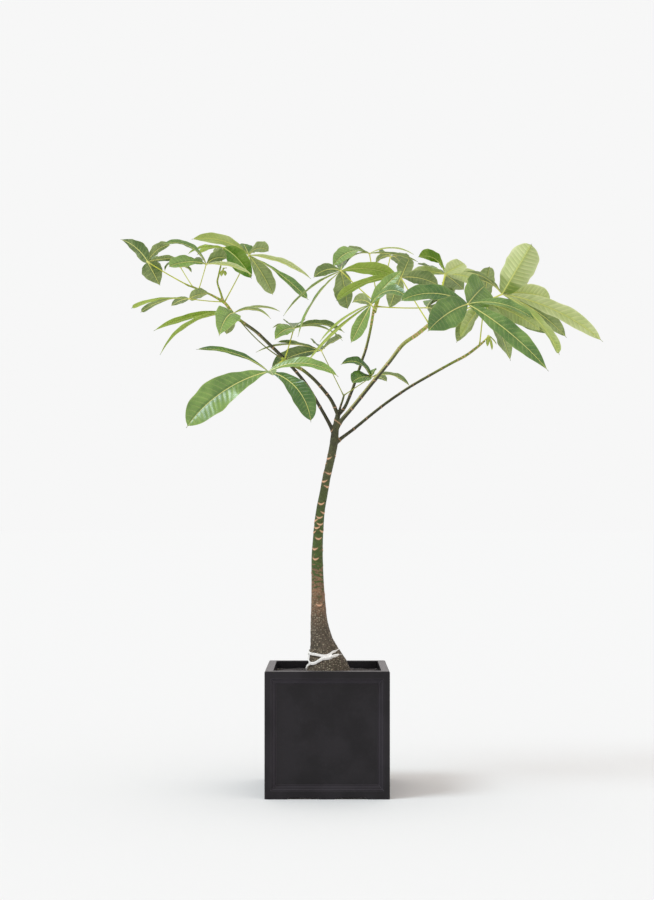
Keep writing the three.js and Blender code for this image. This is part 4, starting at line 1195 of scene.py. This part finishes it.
def add_crumb(shape, place, size, draw, tone):
    """One loose grain: an uneven lump with few faces."""
    ring = ((1, 0.2), (0.2, 1), (-1, -0.1), (-0.2, -1))
    lump = np.array([[x, y, z] for z in (-1, 0, 1) for x, y in ring])
    lump = lump * (0.62, 0.62, 0.5)
    lump[4:8, :2] *= 1.5
    lump += draw.uniform(-0.22, 0.22, lump.shape)
    turn = draw.uniform(0, FULL_TURN)
    cos, sin = math.cos(turn), math.sin(turn)
    lump = lump * size @ np.array([[cos, -sin, 0], [sin, cos, 0], [0, 0, 1]])
    faces = skin([lump[:4], lump[4:8], lump[8:]])[1]
    shape.add(place + lump, faces, place=(tone, 0, 0))


def build_soil(s):
    """The soil with loose grains, which lie clear of the trunk and the planter."""
    draw = np.random.default_rng(41)
    shape = Shape()
    soil_bed(shape, s, draw)
    foot = seen(TRUNK[3])
    reach = PLANTER_HALF - PLANTER_WALL - CRUMB_FROM_WALL
    placed = 0
    while placed < s.crumbs:
        x, y = draw.uniform(-reach, reach, 2)
        if math.hypot(x - foot[0], y - foot[1]) < CRUMB_FROM_TRUNK:
            continue
        grain = draw.random()
        size = CRUMB_LEAST + CRUMB_MORE * grain**3
        flat = (size * draw.uniform(1, 1.9), size, size * 0.6)
        place = np.array([x, y, soil_height(s, x, y) + 0.3 * MM])
        add_crumb(shape, place, np.array(flat), draw, draw.random() ** 2)
        placed += 1
    return shape.mesh("soil_mix", [soil_material(s)])


# ---- The wood ----


def wood_line(spots, step):
    """A limb's smooth line of places and radii, in metres."""
    return smooth_line([[*seen(spot), spot[3] * MM] for spot in spots], step)


def trunk_swell(s, angle, radius):
    """The share by which the shallow flutes widen the foot at an angle."""
    fade = smoothstep(*FLUTE_FADE, radius)
    return 1 + s.flute_depth * fade * np.cos(s.flutes * angle + FLUTE_START)


def trunk_at(height):
    """The trunk's middle and radius at a height."""
    places = np.array([[*seen(spot), spot[3] * MM] for spot in TRUNK])
    return np.array([np.interp(height, places[:, 2], places[:, column]) for column in range(4)])


def limb_mesh(s):
    """All limbs as closed tubes that reach into each other."""
    shape = Shape()
    trunk = wood_line(TRUNK, 4 * MM)
    rings = limb_rings(trunk[:, :3], trunk[:, 3], TRUNK_SIDES)
    angles = np.arange(TRUNK_SIDES) / TRUNK_SIDES * FULL_TURN
    swollen = []
    for ring, station in zip(rings, trunk):
        swell = trunk_swell(s, angles, station[3])[:, None]
        swollen.append(station[:3] + (ring - station[:3]) * swell)
    shape.add(*skin(swollen))
    for spots in BRANCHES.values():
        line = wood_line(spots, 2.5 * MM)
        shape.add(*skin(limb_rings(line[:, :3], line[:, 3], BRANCH_SIDES)))
    return shape.mesh("wood")


def applied(mesh, kind, **options):
    """The mesh that a modifier makes of a mesh."""
    carrier = bpy.data.objects.new("carrier", mesh)
    bpy.context.scene.collection.objects.link(carrier)
    modifier = carrier.modifiers.new("shape", kind)
    for name, value in options.items():
        setattr(modifier, name, value)
    bpy.context.view_layer.update()
    result = bpy.data.meshes.new_from_object(carrier.evaluated_get(bpy.context.evaluated_depsgraph_get()))
    bpy.data.objects.remove(carrier)
    return result


def rows_of(collection, name):
    """A triple of every item in a mesh's collection, as rows."""
    values = np.empty(len(collection) * 3, dtype=np.float32)
    collection.foreach_get(name, values)
    return values.reshape(-1, 3).astype(float)


def move_points(mesh, places):
    """Moves a mesh's points to their new places."""
    mesh.vertices.foreach_set("co", places.astype(np.float32).ravel())
    mesh.update()


def point_tree(places):
    """A search tree of places, by their number."""
    tree = kdtree.KDTree(len(places))
    for i, place in enumerate(places):
        tree.insert(place, i)
    tree.balance()
    return tree


def relax(mesh, places, rounds):
    """Evens a mesh's points out without letting it shrink."""
    ends = np.empty(len(mesh.edges) * 2, dtype=np.int32)
    mesh.edges.foreach_get("vertices", ends)
    a, b = ends.reshape(-1, 2).T
    count = np.bincount(np.concatenate([a, b]), minlength=len(places))[:, None]
    for step in range(rounds * 2):
        total = np.zeros_like(places)
        for column in range(3):
            total[:, column] += np.bincount(a, places[b, column], len(places))
            total[:, column] += np.bincount(b, places[a, column], len(places))
        places = places + (RELAX_IN if step % 2 == 0 else RELAX_OUT) * (total / count - places)
    return places


def lumps(places, size, seed):
    """Smooth lumps about 1 high and a size across, as a value for each place."""
    draw = np.random.default_rng(seed)
    total = np.zeros(len(places))
    for _ in range(14):
        wave = draw.normal(0, 1, 3)
        wave *= FULL_TURN / size / np.linalg.norm(wave) * draw.uniform(0.6, 1.5)
        total += np.sin(places @ wave + draw.uniform(0, FULL_TURN))
    return total / 3.5


def scar_list(s):
    """Every leaf scar: its place on the bark, the way out, the limb's direction, its width and strength."""
    draw = random.Random(17)
    scars = []
    spots = [(across, down, -0.5 * math.pi) for across, down in TRUNK_SCARS]
    for turn in HIDDEN_SCAR_TURNS:
        for _ in range(HIDDEN_SCARS_EACH):
            down = draw.uniform(*HIDDEN_SCARS_DOWN)
            spots.append((None, down, turn * math.pi + draw.uniform(-0.3, 0.3)))
    for across, down, angle in spots:
        middle = trunk_at(EYE_HEIGHT * MM + (HORIZON_DOWN - down) * EYE_DISTANCE / PIXELS_PER_SLOPE * MM)
        if across is not None:
            side = (seen((across, down, 0))[0] - middle[0]) / middle[3]
            angle = -0.5 * math.pi + math.asin(max(-0.95, min(0.95, side)))
        out = np.array([math.cos(angle), math.sin(angle), 0.0])
        scars.append((middle[:3] + out * middle[3], out, UP, s.scar_width, 1.0))
    for name, spots in BRANCHES.items():
        line = wood_line(spots, 1 * MM)
        along = unit(np.gradient(line[:, :3], axis=0))
        at = 14 + draw.randrange(12)
        while at < len(line) - 6:
            forward = along[at]
            out = unit(np.cross(forward, [draw.gauss(0, 1), draw.gauss(0, 1), draw.gauss(0, 1)]))
            young = at / len(line) > YOUNG_WOOD
            size = 2.7 * line[at, 3]
            scars.append((line[at, :3] + out * line[at, 3], out, forward, size, 1.0 if young else OLD_SCAR))
            at += draw.randrange(6, 13) if young else draw.randrange(22, 60)
    return scars


def scar_marks(places, scars):
    """For each point, how much it belongs to a scar and how far the scar lifts it."""
    mark, lift = np.zeros(len(places)), np.zeros(len(places))
    tree = point_tree(places)
    for middle, out, forward, width, strength in scars:
        near = [index for _, index, _ in tree.find_range(middle, width)]
        if not near:
            continue
        offset = places[near] - middle
        aside = np.cross(forward, out)
        across = offset @ aside / (width / 2)
        upward = offset @ forward / (width / 2)
        bowl = upward - 0.6 * across**2 + 0.18
        body = np.maximum(0.06, 0.25 * (1 - 0.75 * across**2))
        crescent = np.exp(-((bowl / body) ** 4)) * (1 - smoothstep(0.8, 1.05, np.abs(across)))
        swelling = np.exp(-(across**2 + (upward - 0.1) ** 2) / 0.4)
        mark[near] = np.maximum(mark[near], crescent * strength)
        lift[near] = np.maximum(lift[near], (0.5 * crescent + 0.5 * swelling) * width * 0.06)
    return mark, lift


def wood_ages(places):
    """For each point, its age from 0, the old foot, to 1, the newest wood, and how much painted shade lies on
    its bark, which below 0 is painted light.
    """
    trunk = wood_line(TRUNK, 6 * MM)
    stations = list(trunk[:, :3])
    ages = list(np.interp(trunk[:, 2] / MM, *TRUNK_AGES))
    painted_shading = list(np.interp(trunk[:, 2] / MM, *TRUNK_PAINTED_SHADES))
    for name, spots in BRANCHES.items():
        line = wood_line(spots, 4 * MM)
        shares = np.linspace(0, 1, len(line))
        stations.extend(line[:, :3])
        ages.extend(np.interp(shares, *BRANCH_AGES.get(name, ([0, 1], [0.6, 1]))))
        first, last = BRANCH_PAINTED_SHADES.get(name, (0.0, 0.0))
        painted_shading.extend(first + (last - first) * smoothstep(0.25, 0.7, shares))
    tree = point_tree(stations)
    nearest = np.array([tree.find(place)[1] for place in places])
    return np.array(ages)[nearest], np.array(painted_shading)[nearest]


def build_wood(s):
    """The tree's wood as one smooth skin, with its rough foot, leaf scars and swollen nodes, and the painted
    shade and light for its bark.
    """
    mesh = applied(limb_mesh(s), "REMESH", mode="VOXEL", voxel_size=s.grain, use_smooth_shade=True)
    places = relax(mesh, rows_of(mesh.vertices, "co"), 5)
    move_points(mesh, places)
    normals = rows_of(mesh.vertex_normals, "vector")
    ages, painted_shading = wood_ages(places)
    mark, lift = scar_marks(places, scar_list(s))
    old = 1 - smoothstep(0.02, 0.3, ages)
    stretched = places * (1, 1, 0.45)
    rough = old * (0.75 * lumps(stretched, 22 * MM, 3) + 0.45 * lumps(stretched, 9 * MM, 4))
    fine = (0.12 + 0.25 * old) * lumps(stretched, 4.5 * MM, 5)
    move_points(mesh, places + normals * ((rough + fine) * MM * 0.5 + lift)[:, None])
    # Painted light on the side of the branches that faces the key light, and painted shade on the side away
    # from it.
    branch = smoothstep(0.6, 0.7, ages) * (1 - 0.9 * smoothstep(0.8, 0.95, ages))
    key_facing = smoothstep(-0.4, 0.6, 0.45 * normals[:, 2] - 0.8 * normals[:, 0])
    painted_shading = np.clip(painted_shading + (0.75 - 1.65 * key_facing) * branch, -0.85, 1)
    add_trait(mesh, "place", np.stack([ages, mark, painted_shading], axis=1))
    mesh.materials.append(bark_material(s))
    return mesh


# ---- The tie ----


def tie_turn(shape, s, tree, further, heights):
    """One turn of the flat cord round the foot."""
    rings, marks = [], []
    for step in range(TIE_STEPS):
        angle = step / TIE_STEPS * FULL_TURN - math.pi
        place = step / TIE_STEPS * len(heights)
        before, after = heights[int(place)], heights[(int(place) + 1) % len(heights)]
        height = (before + (after - before) * smoothstep(0, 1, place % 1)) * MM
        middle = trunk_at(height)
        outward = np.array([math.cos(angle), math.sin(angle), 0.0])
        reach = middle[3] * trunk_swell(tree, angle, middle[3]) + (TIE_GAP + further) * MM + s.thickness / 2
        line = middle[:3] + outward * reach
        ring = []
        for out, rise in TIE_SECTION:
            ring.append(line + outward * out * s.thickness / 2 - UP * rise * s.width / 2)
            marks.append((step * WEAVE_ALONG, rise * WEAVE_ACROSS, 0))
        rings.append(ring)
    shape.add(*skin(rings, loop=True), place=marks)


def build_tie(s, tree):
    """The tie's turns and its knot."""
    shape = Shape()
    for further, heights in TIE_TURNS:
        tie_turn(shape, s, tree, further, heights)
    knot = seen((*TIE_KNOT, 0))
    middle = trunk_at(knot[2])
    side = knot[0] - middle[0]
    knot[1] = -math.sqrt(middle[3] ** 2 - side**2) - KNOT_OUT * MM
    size = [length * MM for length in TIE_KNOT_SIZE]
    for wrap in TIE_WRAPS:
        bends = [knot + np.array(bend) * size for bend in wrap]
        line = smooth_line([[*bend, WRAP_RADIUS * MM] for bend in bends], 0.7 * MM)
        shape.add(*skin(limb_rings(line[:, :3], line[:, 3], 12)))
    return shape.mesh("tie_cord", [tie_material(s)])


# ---- The leaves ----


def width_share(along, base, tip):
    """The share of a blade's full width at a share of its length, by how full its base and tip are."""
    base_power = BLADE_BASE_POWER - BLADE_FULLNESS * base
    tip_power = BLADE_TIP_POWER - BLADE_FULLNESS * tip
    peak = base_power / (base_power + tip_power)
    share = np.clip(along / (1 - DRIP_TIP), 0, 1)
    return (share / peak) ** base_power * ((1 - share) / (1 - peak)) ** tip_power


def blade_frame(hub, leaflet):
    """The midrib's four guide points in metres, and the blade's rise and side directions."""
    across, down, deeper, _, arch, _, sweep = (*leaflet, 0)[:7]
    start = seen(hub)
    tip = seen((across, down, hub[2] + deeper))
    chord = tip - start
    along = unit(chord)
    rise = unit(UP - along * along[2])
    side = np.cross(along, rise)
    if side @ TO_VIEWER < 0:
        side = -side
    bend = (rise * arch + side * sweep) * MM / MIDRIB_REACH
    guides = [start + chord * share + bend for share in MIDRIB_GUIDES]
    return [start, *guides, tip], rise, side


def bezier(guides, share):
    """Places and directions at shares of a cubic curve. Shares may be an array of any shape."""
    a, b, c, d = guides
    t = np.asarray(share, dtype=float)[..., None]
    place = (1 - t) ** 3 * a + 3 * (1 - t) ** 2 * t * b + 3 * (1 - t) * t * t * c + t**3 * d
    slope = (1 - t) ** 2 * (b - a) + 2 * (1 - t) * t * (c - b) + t * t * (d - c)
    return place, unit(slope)


def blade_faces(lines, columns, upper, lower):
    """The faces over a blade's two sheets of points and round its edges, and the material of each."""
    under = lines * columns
    faces, looks = [], []
    for quad in grid_faces(lines, columns):
        faces += [quad, [corner + under for corner in quad[::-1]]]
        looks += [upper, lower]
    for row in range(lines - 1):
        left, right = row * columns, row * columns + columns - 1
        faces.append([left, left + columns, left + columns + under, left + under])
        faces.append([right, right + under, right + columns + under, right + columns])
        looks += [upper, upper]
    faces.append([*range(columns)][::-1] + [under + column for column in range(columns)])
    return faces, [*looks, upper]


def add_blade(shape, s, hub, leaflet, order, look):
    """A leaflet: an arched blade with waved edges, a midrib, and lateral veins along its rows."""
    guides, rise, side = blade_frame(hub, leaflet)
    _, _, _, wide, _, face, _, twist, base, tip = (*leaflet, 0, 0, 0, 0)[:10]
    width = wide * MM
    length = np.linalg.norm(guides[3] - guides[0])
    veins = int(min(MOST_VEINS, max(FEWEST_VEINS, round(length / (VEIN_SPACING * MM)))))
    rows = np.linspace(0, 1, veins * ROWS_PER_VEIN + 1)[:, None]
    spread = np.array(BLADE_COLUMNS)
    edge = np.concatenate([-spread, [0], spread[::-1]])[None, :]
    middle = np.zeros(edge.shape)
    middle[0, len(spread)] = 1
    along = rows + ROW_SWEEP * np.abs(edge) ** 1.2 * 4 * rows * (1 - rows)
    place, forward = bezier(guides, along)
    turn = np.radians(face + twist * along)[..., None]
    facing = rise * np.cos(turn) + side * np.sin(turn)
    normal = unit(facing - forward * np.sum(facing * forward, axis=-1, keepdims=True))
    outward = np.cross(normal, forward)
    sign = np.where(middle > 0, 0, np.where(np.arange(edge.size) < len(spread), 1, -1))
    phase = order * WAVE_STEP + sign * WAVE_EDGE + WAVE_START
    scallop = 1 + s.scallop * np.sin(s.waves * SCALLOP_RATE * FULL_TURN * along + 3.1 * phase + hub[0])
    stalk = BLADE_STALK * (1 - STALK_TAPER * along) * MM
    half = (width_share(along, base, tip) * scallop * width / 2 + stalk) * (along < 1)
    rib = np.minimum(RIB_HALF_WIDTH * MM * (1 - 0.72 * along), 0.6 * half)
    away = np.where(middle > 0, 0, rib + (half - rib) * np.abs(edge))
    reach = away / np.maximum(half, 1e-9)
    waving = np.sin(s.waves * FULL_TURN * along + phase) * s.wave * width
    ripple = np.sin(s.waves * RIPPLE_RATE * FULL_TURN * along + 2.3 * phase) * s.wave * width * 0.3
    height = away * s.fold + (waving + ripple) * np.sin(np.pi * along) * reach**1.5
    count = rows * veins + 0 * edge
    cycle = np.abs((count + VEIN_SHIFT * (sign < 0) + 0.5) % 1 - 0.5) * 2
    pucker = smoothstep(0, 0.9, cycle) * np.sin(np.pi * np.clip(reach, 0, 1)) ** 0.6
    size = np.minimum(1, width / (45 * MM)) * np.minimum(1, half / (6 * MM))
    height = height + pucker * size * PUCKER * MM
    thin = s.thickness / 2
    groove = np.where(middle > 0, RIB_GROOVE * MM * np.minimum(1, half / (4 * MM)), 0)
    ridge = np.where(middle > 0, rib * 0.75, 0)
    raised = (1 - smoothstep(0, 0.5, cycle)) * VEIN_RISE * MM * size * (reach < 0.95)
    top = place + outward * (away * sign)[..., None] + normal * (height + thin - groove)[..., None]
    bottom = place + outward * (away * sign)[..., None] + normal * (height - thin - ridge - raised)[..., None]
    marks = np.stack([reach * -sign, count, along + 0 * edge], axis=-1)
    # Painted shadow of other leaves over the blade's left half and over its base, laid on in vivid green.
    half_shadow_paint, base_shadow_paint = (*look[3:], 0, 0)[:2]
    shade = half_shadow_paint * (sign > 0) + base_shadow_paint * (1 - smoothstep(0.24, 0.32, along))
    tones = np.stack([0 * along + look[0], middle + 0 * along, shade], axis=-1)
    faces, looks = blade_faces(*along.shape, look[1], look[2])
    points = np.concatenate([top.reshape(-1, 3), bottom.reshape(-1, 3)])
    first = len(shape.looks)
    shape.add(points, faces, 0, np.tile(marks.reshape(-1, 3), (2, 1)), np.tile(tones.reshape(-1, 3), (2, 1)))
    shape.looks[first:] = looks


def add_stalk(shape, s, hub, petiole):
    """The petiole with its swollen ends, and the knot where the leaflets meet."""
    start, end = seen(petiole), seen(hub)
    reach = np.linalg.norm(end - start)
    painted_stalk_shade, bow = petiole[4:] or (0, PETIOLE_BOW)
    sag = (start + end) / 2 - UP * reach * bow
    shares = np.linspace(0, 1, max(8, int(reach / (5 * MM))))
    line = [(1 - t) ** 2 * start + 2 * t * (1 - t) * sag + t * t * end for t in shares]
    radii = np.interp(shares, PETIOLE_SHARES, PETIOLE_SWELLS)
    rings = limb_rings(line, radii * petiole[3] * s.petiole_scale * MM, PETIOLE_SIDES)
    # The first trait is the petiole's painted shade.
    marks = [(painted_stalk_shade, 0, share) for share in shares for _ in range(PETIOLE_SIDES)]
    shape.add(*skin(rings), look=2, place=marks)
    bands = np.linspace(0.12, math.pi - 0.12, 9)
    axis = [end + UP * math.cos(band) * s.hub_radius * 0.8 for band in bands]
    knob = limb_rings(axis, np.sin(bands) * s.hub_radius, HUB_SIDES)
    shape.add(*skin(knob), look=2, place=(0, 0, 1))


def build_leaf(s, name, leaf, materials):
    """One palmate leaf."""
    hub, petiole, looks, leaflets = leaf
    shape = Shape()
    add_stalk(shape, s, hub, petiole)
    for order, leaflet in enumerate(leaflets):
        add_blade(shape, s, hub, leaflet, order, LOOKS[looks[order]])
    mesh = shape.mesh(f"{name}_leaf", materials)
    mesh.set_sharp_from_angle(angle=math.radians(70))
    return mesh


# ---- Operators ----


class MONEYTREE_OT_stage(bpy.types.Operator):
    """Set up the pale floor, the soft light and the camera of the reference view"""

    bl_idname = "money_tree.stage"
    bl_label = "Studio"

    def execute(self, context):
        s = settings(context, "stage")
        scene = context.scene
        scene.view_settings.view_transform = "Standard"
        self.add_camera(scene)
        self.add_floor(scene, s)
        self.add_lights(scene, s)
        return {"FINISHED"}

    def add_camera(self, scene):
        data = bpy.data.cameras.new("front")
        data.sensor_width = SENSOR
        data.lens = PIXELS_PER_SLOPE / PICTURE_HEIGHT * SENSOR
        data.shift_x = (PICTURE_WIDTH / 2 - MIDDLE_ACROSS) / PICTURE_HEIGHT
        data.shift_y = (HORIZON_DOWN - PICTURE_HEIGHT / 2) / PICTURE_HEIGHT
        camera = bpy.data.objects.new("front", data)
        camera.location = (0, -EYE_DISTANCE * MM, EYE_HEIGHT * MM)
        camera.rotation_euler = (math.radians(90), 0, 0)
        scene.collection.objects.link(camera)
        scene.camera = camera

    def add_floor(self, scene, s):
        corners = [(x * FLOOR_REACH, y * FLOOR_REACH, 0) for x, y in ((-1, -1), (1, -1), (1, 1), (-1, 1))]
        mesh = bpy.data.meshes.new("floor")
        mesh.from_pydata(corners, [], [(0, 1, 2, 3)])
        material, tree, output, _ = start_material("floor_paper")
        inputs = {"Base Color": s.floor_colour, "Roughness": 1.0, "Specular IOR Level": 0.0}
        shader = node(tree, "ShaderNodeBsdfPrincipled", inputs)
        tree.links.new(shader.outputs[0], output.inputs["Surface"])
        mesh.materials.append(material)
        floor = bpy.data.objects.new("floor", mesh)
        scene.collection.objects.link(floor)

    def add_lights(self, scene, s):
        world = bpy.data.worlds.new("studio")
        world.use_nodes = True
        tree = world.node_tree
        tree.nodes.clear()
        output = tree.nodes.new("ShaderNodeOutputWorld")
        sky = node(tree, "ShaderNodeBackground", {"Color": s.sky_colour, "Strength": s.sky_strength})
        backdrop = node(tree, "ShaderNodeBackground", {"Color": s.backdrop, "Strength": 1.0})
        straight = tree.nodes.new("ShaderNodeLightPath").outputs["Is Camera Ray"]
        inputs = {0: straight, 1: sky.outputs[0], 2: backdrop.outputs[0]}
        mix = node(tree, "ShaderNodeMixShader", inputs)
        tree.links.new(mix.outputs[0], output.inputs["Surface"])
        scene.world = world
        data = bpy.data.lights.new("key", "SUN")
        data.energy = s.key_power
        data.angle = s.key_spread
        data.color = s.key_colour
        key = bpy.data.objects.new("key", data)
        key.rotation_euler = KEY_AIM.to_track_quat("-Z", "Y").to_euler()
        scene.collection.objects.link(key)


class MONEYTREE_OT_planter(bpy.types.Operator):
    """Build the square planter with its stepped panels and feet"""

    bl_idname = "money_tree.planter"
    bl_label = "Planter"

    def execute(self, context):
        s = settings(context, "planter")
        mesh = build_planter(s)
        mesh.materials.append(planter_material("planter_charcoal", s, 0.02))
        # The edge material holds real wear and a painted sheen on the rim and the rounded edges.
        mesh.materials.append(planter_material("planter_edge_wear_and_sheen", s, 0.5))
        piece = place_piece("planter_body", mesh, "planter")
        round_edges(piece, s.edge_round, 1)
        return {"FINISHED"}


class MONEYTREE_OT_soil(bpy.types.Operator):
    """Fill the planter with soil and loose grains"""

    bl_idname = "money_tree.soil"
    bl_label = "Soil"

    def execute(self, context):
        place_piece("soil_mix", build_soil(settings(context, "soil")), "soil")
        return {"FINISHED"}


class MONEYTREE_OT_wood(bpy.types.Operator):
    """Grow the trunk and its branches as one piece of wood"""

    bl_idname = "money_tree.wood"
    bl_label = "Trunk and branches"

    def execute(self, context):
        place_piece("trunk_wood", build_wood(settings(context, "tree")), "trunk")
        return {"FINISHED"}


class MONEYTREE_OT_tie(bpy.types.Operator):
    """Wind the white tie round the foot of the trunk"""

    bl_idname = "money_tree.tie"
    bl_label = "Tie"

    def execute(self, context):
        mesh = build_tie(settings(context, "tie"), settings(context, "tree"))
        place_piece("tie_cord", mesh, "tie")
        return {"FINISHED"}


class MONEYTREE_OT_leaves(bpy.types.Operator):
    """Hang every palmate leaf on its branch"""

    bl_idname = "money_tree.leaves"
    bl_label = "Leaves"

    def execute(self, context):
        s = settings(context, "leaf")
        stalk = stalk_material("leaf_stalk", s)
        top = blade_material("leaf_top", s, (s.deep, s.light), s.glow, 0.2)
        under = blade_material("leaf_under", s, (s.under_deep, s.under_light), s.glow, 0.22, 0.2, True)
        # The pale and vivid blades are lit copies of the underside, with painted backlight in their colours
        # beside their real translucency.
        pale = blade_material("leaf_pale_painted_backlight", s, (s.pale, s.palest), s.pale_glow, 0.5, 0.45, True)
        vivid = blade_material("leaf_vivid_painted_backlight", s, (s.vivid, s.bright), s.vivid_glow, 0.45, 0.14, True)
        young_stalk = stalk_material("young_stalk", s)
        young = blade_material("young_blade", s, (s.young, s.young), s.glow, 0.3)
        for name, leaf in LEAVES.items():
            mesh = build_leaf(s, name, leaf, [top, under, stalk, pale, vivid])
            place_piece(f"{name}_leaf", mesh, f"leaf_{name}")
        for name, leaf in YOUNG_LEAVES.items():
            mesh = build_leaf(s, name, leaf, [young, young, young_stalk])
            place_piece(f"{name}_leaf", mesh, f"leaf_{name}")
        return {"FINISHED"}


OPERATORS = [
    MONEYTREE_OT_stage, MONEYTREE_OT_planter, MONEYTREE_OT_soil, MONEYTREE_OT_wood, MONEYTREE_OT_tie,
    MONEYTREE_OT_leaves,
]


class MONEYTREE_PT_panel(bpy.types.Panel):
    """Lists the plant's parts with their settings"""

    bl_idname = "MONEYTREE_PT_panel"
    bl_label = "Money Tree"
    bl_space_type = "VIEW_3D"
    bl_region_type = "UI"
    bl_category = "Money Tree"

    def draw(self, context):
        for operator in OPERATORS:
            self.layout.operator(operator.bl_idname)
        for part, kind in SETTINGS.items():
            box = self.layout.box()
            box.label(text=part.capitalize())
            for name in kind.__annotations__:
                box.prop(settings(context, part), name)


def register():
    """Adds the settings, operators and panel."""
    for part, kind in SETTINGS.items():
        bpy.utils.register_class(kind)
        setattr(bpy.types.Scene, f"money_tree_{part}", PointerProperty(type=kind))
    for kind in (*OPERATORS, MONEYTREE_PT_panel):
        bpy.utils.register_class(kind)


def unregister():
    """Takes the settings, operators and panel away."""
    for kind in (MONEYTREE_PT_panel, *reversed(OPERATORS)):
        bpy.utils.unregister_class(kind)
    for part, kind in SETTINGS.items():
        delattr(bpy.types.Scene, f"money_tree_{part}")
        bpy.utils.unregister_class(kind)


def main():
    """Builds the whole plant in its studio."""
    register()
    bpy.ops.money_tree.stage()
    bpy.ops.money_tree.planter()
    bpy.ops.money_tree.soil()
    bpy.ops.money_tree.wood()
    bpy.ops.money_tree.tie()
    bpy.ops.money_tree.leaves()


if __name__ == "__main__":
    main()
